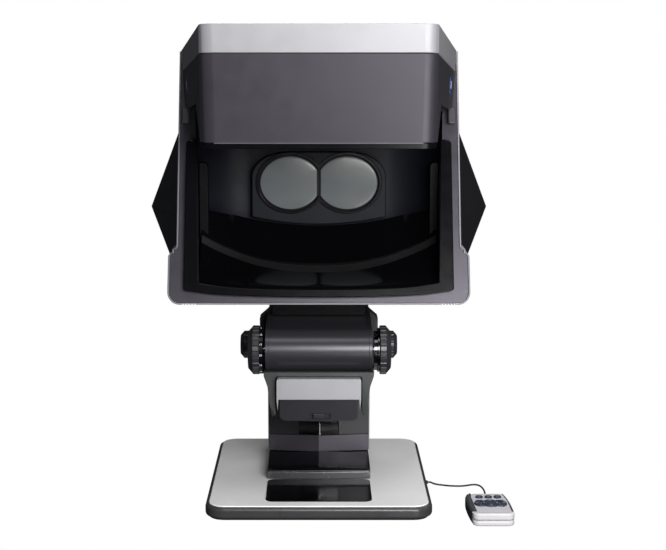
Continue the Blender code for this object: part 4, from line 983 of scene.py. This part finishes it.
def make_barrel():
    """The barrel between the knobs: a body with a fine seam, and a flange at each end."""
    outline = barrel_outline(-0.0004)
    barrel = prism("zoom_barrel_shell", outline, -BARREL_HALF, BARREL_HALF, SIDE, BARREL_PAINT)
    rounded(barrel, 0.0008, 2, 25)
    ride(barrel, HEAD, ["zoom_barrel"])
    for side, hand in SIDES:
        low, high = sorted((side * (BARREL_HALF - 0.0050), side * (BARREL_HALF + 0.0006)))
        flange = prism(f"barrel_flange_{hand}", barrel_outline(0.0), low, high, SIDE, BARREL_PAINT)
        ride(rounded(flange, 0.0007, 2, 25), HEAD)


def knob_profile(inner, outer, radius, chamfer, dish):
    """A knob's half section: a straight grip, a wide chamfer and a sunk end face."""
    crown = radius - chamfer * 1.1
    points = [(0.0001, inner), (radius - 0.0008, inner), (radius, inner + 0.0008)]
    points += [(radius, outer - chamfer), (radius - 0.0006, outer - chamfer + 0.0004)]
    points += [(crown, outer - 0.0006), (crown - 0.0008, outer), (crown - 0.0024, outer)]
    return points + [(crown - 0.0032, outer - dish), (0.0001, outer - dish)]


def make_knobs():
    """The ribbed knobs, then the dial and the hub behind the zoom knobs."""
    zoom = ("zoom", ZOOM_AXIS, KNOB_RADIUS, 0.0076, 0.0012, 26, 0.0010)
    focus = ("focus", FOCUS_AXIS, FOCUS_RADIUS, 0.0058, 0.0010, 20, 0.0008)
    for (side, hand), inner, outer, kind in (
        (SIDES[0], 0.0902, 0.1072, zoom),
        (SIDES[1], 0.0925, 0.1092, zoom),
        (SIDES[0], 0.0965, 0.1262, focus),
        (SIDES[1], 0.0965, 0.1262, focus),
    ):
        control, axis, radius, chamfer, dish, ribs, groove = kind
        profile = knob_profile(inner, outer, radius, chamfer, dish)
        zone = (inner + 0.0008, outer - chamfer + 0.0002)
        name = f"{control}_knob_grip_{hand}"
        knob = turned(name, profile, axis, X * side, RIB_BLACK, 0, ribs, groove, zone)
        ride(knob, f"{control}_control", [f"{control}_knob_{hand}"])
    dial = [(0.0001, 0.0838), (0.0352, 0.0838), (0.0362, 0.0848), (0.0362, 0.0899)]
    dial = turned("zoom_dial_ring", dial + [(0.0001, 0.0899)], ZOOM_AXIS, -X, BLACK, 96)
    ride(dial, "zoom_control", ["zoom_dial"])
    hub = [(0.0001, 0.0838), (0.0290, 0.0838), (0.0290, 0.0886), (0.0328, 0.0888)]
    hub += [(0.0335, 0.0895), (0.0335, 0.0914), (0.0328, 0.0921), (0.0001, 0.0921)]
    hub = turned("zoom_hub_polished", hub, ZOOM_AXIS, X, HUB_STEEL_SHADED, 96)
    ride(hub, "zoom_control", ["zoom_hub"])


def make_numerals():
    """Plain magnification steps printed round the dial, seen edge on from the front."""
    radius, size, raised, middle = 0.0362, 0.0042, 0.00012, -0.0874
    first, step = 180 - 76, 26
    for i, label in enumerate(("5", "10", "15", "20", "25", "30", "35")):
        angle = radians(first + step * i)
        digits = text_mesh(f"dial_mark_{label}", label, size, raised, WHITE_PRINT)
        out = Vector((0, cos(angle), sin(angle)))
        place = ZOOM_AXIS + X * middle + out * (radius + raised)
        digits.data.transform(basis_at(place, X, out.cross(X), out))
        ride(digits, "zoom_control")


def make_optics():
    refined("optics_cradle", HEAD, CRADLE_PAINT_AND_REFLECTION, 0.0, 3, 40)
    refined("optics_front_cover", HEAD, OPTICS_SILVER_SHADED, 0.0030, 5, 60)
    refined("optics_housing", HEAD, HOUSING_BLACK, 0.0012, 3, 40)
    refined("iris_slider", "iris", CHARCOAL, 0.0)
    for node, material, slot in (
        ("objective_barrel", BLACK_METAL, "black_metal"),
        ("objective_lens", LENS_GLASS, "lens_glass"),
        ("ring_light", GUNMETAL_PLASTIC, "charcoal_metal"),
    ):
        refined(node, HEAD, material, 0.0, 3, 32)


refined("focus_block", HEAD, CHARCOAL, 0.0015, 3, 25)
refined("neck_bracket", HEAD, NECK_BLACK, 0.0015, 3, 25)
for shaft in ("focus_shaft", "zoom_shaft"):
    kept(shaft, STEEL)
kept("zoom_lens_cell", BLACK_METAL)
make_barrel()
make_knobs()
make_numerals()
make_optics()

# --- stand ---


def plan_outline(half, low, high, corner):
    """A rounded plate's outline as a function of how much it grows."""

    def outline(grow):
        side = half + grow
        return round_rect(-side, side, low - grow, high + grow, corner + grow, 12)

    return outline


def make_base():
    base = plan_outline(0.172, -0.196, 0.196, 0.030)
    casting = rimmed("base_casting_shell", base, 0.0023, 0.0200, 0.005, PLAN, BASE_PAINT, 8, True)
    ride(casting, STAND, ["base_casting"])
    plate = plan_outline(0.1665, -0.190, 0.190, 0.025)
    plate = rimmed("base_plate_shell", plate, 0.0203, 0.022, 0.0010, PLAN, LIGHT_PLATE)
    ride(plate, STAND, ["base_top_plate"])
    panel = plan_outline(0.081, -0.170, -0.056, 0.012)
    panel = rimmed("work_panel_gloss", panel, 0.0223, 0.0233, 0.0006, PLAN, PANEL_GLOSS)
    ride(panel, STAND, ["work_panel"])
    refined("base_mat", STAND, RUBBER_MAT, 0.0)


def make_plinth():
    """The column's foot: a black body with a low ridge, and a lip with a centre crease, whose light
    grey is partly a painted reflection of the table.
    """
    half, lip_top, lip_back = COVER_HALF_WIDTH, 0.0348, -0.0450
    recess = round_rect(-0.1, 0.1, -0.07, lip_back - 0.0002, 0.001, 1)
    recess = prism("lip_recess", recess, 0.02, lip_top + 0.0003, PLAN)
    refined("column_plinth", STAND, BLACK, 0.0, 3, 40, [recess])
    lip = [(half, lip_back), (half, -0.0530), (0, -0.0562)]
    lip += [(-half, -0.0530), (-half, lip_back)]
    lip = prism("plinth_front_lip", lip, 0.0226, lip_top, PLAN, LIP_PAINT_AND_REFLECTION)
    ride(rounded(lip, 0.0012, 3, 40), STAND)
    slope, low, edge, crown, side = 0.041, 0.0355, 0.0401, 0.0423, half - 0.0006
    ramp = basis_at(Z * 0, X, Z, -Y - Z * slope)
    gable = [(-side, low), (side, low), (side, edge), (0, crown), (-side, edge)]
    ridge = prism("plinth_top_ridge", gable, -0.0332, 0.0485, ramp, PANEL_GLOSS)
    ride(rounded(ridge, 0.0006, 2, 30), STAND)


def make_column():
    """The column's shells, rails and screws, on its foot."""
    make_plinth()
    for part, material, width, slot, angle in (
        ("extrusion", SILVER, 0.0, "silver_paint", 40),
        ("top_cap", BLACK, 0.0, "black_cover", 40),
        ("rear_cover", CHARCOAL, 0.0006, "charcoal_metal", 30),
        ("foot_band", FASCIA_PAINT, 0.0008, "gunmetal_cover", 30),
        ("front_cover", CHARCOAL, 0.0008, "charcoal_metal", 30),
        ("window", GLOSS, 0.0005, "black_gloss", 30),
    ):
        refined(f"column_{part}", STAND, material, width, 2, angle)
    rib = round_rect(0.0004, 0.0024, 0.0322, 0.0350, 0.0005, 3)
    ride(shaded(prism("column_window_rib", rib, 0.0710, 0.0915, PLAN, STEEL)), STAND)
    for node in ("guide_rail_left", "guide_rail_right", "focus_drive_bar"):
        refined(node, STAND, STEEL, 0.0)
    for i, (x, z) in enumerate(corners_at(0.060, 0.066, 0.242)):
        place = basis_at((x, 0.1525, z), -X, Z, Y)
        ride(screw_head(f"column_screw_{i}", 0.0034, -0.0004, 0.0012, place), STAND)


# --- handset ---

HANDSET_X, HANDSET_FRONT, HANDSET_REAR, HANDSET_WAIST_Y = 0.2595, -0.222, -0.125, -0.176
HANDSET_HALF, HANDSET_REAR_HALF, HANDSET_ROUND = 0.031, 0.0275, 0.009
HANDSET_LOW, HANDSET_SPLIT_Z, HANDSET_TOP, KEY_TOP = 0.0006, 0.0095, 0.0205, 0.0227
NOSE_Y = -0.2125
CUT_LOW, CUT = -0.02, 0.05  # cutters reach past the handset on every side


def handset_outline(grow):
    wide, narrow, radius = HANDSET_HALF + grow, HANDSET_REAR_HALF + grow, HANDSET_ROUND
    right = arc((wide - radius, HANDSET_FRONT - grow + radius), radius, -90, 0, 12)
    right += [(wide, HANDSET_WAIST_Y)]
    right += arc((narrow - radius, HANDSET_REAR + grow - radius), radius, 5, 90, 12)
    return [(HANDSET_X + x, y) for x, y in mirrored(right)]


def handset_band(name, front, back):
    """A block across the handset between these depths."""
    outline = round_rect(HANDSET_X - CUT, HANDSET_X + CUT, front, back, 0.001, 1)
    return prism(name, outline, CUT_LOW, CUT, PLAN)


# The grips' inner and outer edges in plan, from the back to the nose, for each side.
GRIP_FRONT = NOSE_Y + GAP
GRIP_INNER = {
    -1: [(-0.0267, -0.1225), (-0.0262, -0.143), (-0.0252, -0.181), (-0.0243, GRIP_FRONT)],
    1: [(0.0232, -0.1235), (0.0268, -0.158), (0.0272, -0.185), (0.0274, GRIP_FRONT)],
}
GRIP_OUTER = {
    -1: [(-0.0296, -0.1235), (-0.0326, -0.1270), (-0.0344, -0.1340), (-0.0352, -0.1480)]
    + [(-0.0350, -0.1650), (-0.0344, -0.1820), (-0.0334, -0.1980), (-0.0318, GRIP_FRONT)],
    1: [(0.0252, -0.1245), (0.0268, -0.1330), (0.0284, -0.1450), (0.0297, -0.1600)]
    + [(0.0304, -0.1760), (0.0307, -0.1900), (0.0309, -0.2020), (0.0309, GRIP_FRONT)],
}


def grip_outline(side):
    """A grip's plan: its inner edge stays, its outer edge moves out as it grows."""

    def outline(grow):
        outer = [(HANDSET_X + x + side * grow, y) for x, y in GRIP_OUTER[side]]
        return [(HANDSET_X + x, y) for x, y in GRIP_INNER[side]] + outer[::-1]

    return outline


def grip_block(side, gap):
    """A cutter that takes everything beyond a grip's inner edge, and a little more."""
    inner = [(HANDSET_X + x - side * gap, y) for x, y in GRIP_INNER[side]]
    behind, beyond = inner[0][1] + 0.003, HANDSET_X + side * CUT
    inner = [(inner[0][0], behind)] + inner
    outline = inner + [(beyond, inner[-1][1]), (beyond, behind)]
    return prism("grip_block", outline, CUT_LOW, CUT, PLAN)


def make_handset():
    """Light shells between dark side grips, with a white nose in two halves."""
    seam = 0.0002
    for node in ("handset_lower_shell", "handset_upper_shell"):
        cutters = [grip_block(-1, seam), grip_block(1, seam), handset_band("nose", -0.25, NOSE_Y)]
        refined(node, STAND, HANDSET_LIGHT, 0.0006, 2, 40, [merged(cutters)])
    lower, upper = (HANDSET_LOW, HANDSET_SPLIT_Z - GAP), (HANDSET_SPLIT_Z, HANDSET_TOP)
    for half, (low, high) in (("lower", lower), ("upper", upper)):
        name = f"handset_nose_{half}"
        nose = rimmed(name, handset_outline, low, high, 0.0028, PLAN, HANDSET_WHITE, 6, True)
        carved(nose, [handset_band("rest", NOSE_Y - seam, -0.1)])
        ride(shaded(nose, 40), STAND)
    top = HANDSET_TOP + 0.0002
    for (side, hand), soft in zip(SIDES, (0.0045, 0.0022)):
        name, outline = f"handset_grip_{hand}", grip_outline(side)
        grip = rimmed(name, outline, HANDSET_LOW, top, soft, PLAN, HANDSET_GRIP, 8, True)
        ride(shaded(grip, 40), STAND)
    for node in ("key_left", "key_middle", "key_right", "nav_pad", "rocker_left", "rocker_right"):
        refined(node, f"{node}_cap", KEY, 0.0, 3, 40)


def key_mark(name, body, outline, lift=0.0):
    """A printed sign just above a key; a second bar of it is lifted clear of the first."""
    low = KEY_TOP + 0.0001 + lift
    ride(prism(name, outline, low, low + 0.0002, PLAN, KEY_MARK), body)


def make_key_marks():
    """Plain signs on the keys: bars, arrows round the pad, and a plus and a minus."""
    pitch, long, thin, pad_y = 0.0140, 0.0019, 0.0005, -0.1745
    for i, key in enumerate(("left", "middle", "right")):
        x = HANDSET_X + pitch * (i - 1)
        bar = round_rect(x - 0.0026, x + 0.0026, -0.1437, -0.1423, thin, 2)
        key_mark(f"bar_mark_{key}", f"key_{key}_cap", bar)
    centre = Vector((HANDSET_X, pad_y))
    for i in range(4):
        ahead = Vector((cos(radians(90 * i)), sin(radians(90 * i))))
        across = Vector((-ahead.y, ahead.x)) * 0.0022
        tip, foot = centre + ahead * 0.0112, centre + ahead * 0.0088
        arrow = [tuple(corner) for corner in (tip, foot + across, foot - across)]
        key_mark(f"arrow_mark_{i}", "nav_pad_cap", arrow)
    for side, hand in SIDES:
        x, y = HANDSET_X + side * 0.0203, pad_y
        bars = [(long, thin)] + ([(thin, long)] if side > 0 else [])
        for i, (w, h) in enumerate(bars):
            bar = [(x - w, y - h), (x + w, y - h), (x + w, y + h), (x - w, y + h)]
            key_mark(f"sign_mark_{hand}_{i}", f"rocker_{hand}_cap", bar, 0.00005 * i)


make_base()
make_column()
make_handset()
make_key_marks()

# --- light ---


def make_world():
    """White behind the object for the camera, and a dim grey that lights it evenly."""
    world = bpy.data.worlds.new("studio")
    SCENE.world = world
    world.use_nodes = True
    nodes, links = world.node_tree.nodes, world.node_tree.links
    seen, lighting = nodes["Background"], nodes.new("ShaderNodeBackground")
    seen.inputs["Color"].default_value = (1, 1, 1, 1)
    seen.inputs["Strength"].default_value = 1.0
    lighting.inputs["Color"].default_value = (0.86, 0.90, 1, 1)
    lighting.inputs["Strength"].default_value = 0.035
    mix, path = nodes.new("ShaderNodeMixShader"), nodes.new("ShaderNodeLightPath")
    links.new(path.outputs["Is Camera Ray"], mix.inputs["Fac"])
    links.new(lighting.outputs["Background"], mix.inputs[1])
    links.new(seen.outputs["Background"], mix.inputs[2])
    links.new(mix.outputs["Shader"], nodes["World Output"].inputs["Surface"])


def softbox(name, azimuth, elevation, distance, size, power, tint=(1, 1, 1)):
    """An area light that faces the object; azimuth 0 is in front of it, 90 to its right."""
    target = Vector((0, 0, 0.36))
    a, e = radians(azimuth), radians(elevation)
    direction = Vector((sin(a) * cos(e), -cos(a) * cos(e), sin(e)))
    light = bpy.data.lights.new(name, "AREA")
    light.shape = "RECTANGLE"
    light.size, light.size_y = size
    light.energy = power
    light.color = tint
    holder = bpy.data.objects.new(name, light)
    holder.location = target + direction * distance
    holder.rotation_euler = direction.to_track_quat("Z", "Y").to_euler()
    holder.visible_camera = False
    SCENE.collection.objects.link(holder)


make_world()
softbox("key_right", 15, 14, 1.7, (0.8, 0.45), 28)
softbox("fill_left", -38, 10, 2.2, (0.8, 1.0), 1.6, (0.90, 0.94, 1))
softbox("table_bounce", 20, -14, 1.5, (0.6, 0.35), 5)
softbox("top", 20, 68, 2.2, (1.6, 1.2), 20)
softbox("side_right", 80, 24, 2.2, (1.0, 0.8), 3)
softbox("back", 165, 42, 2.6, (2.0, 1.2), 13)

SCENE.view_settings.view_transform = "Standard"
SCENE.view_settings.look = "None"
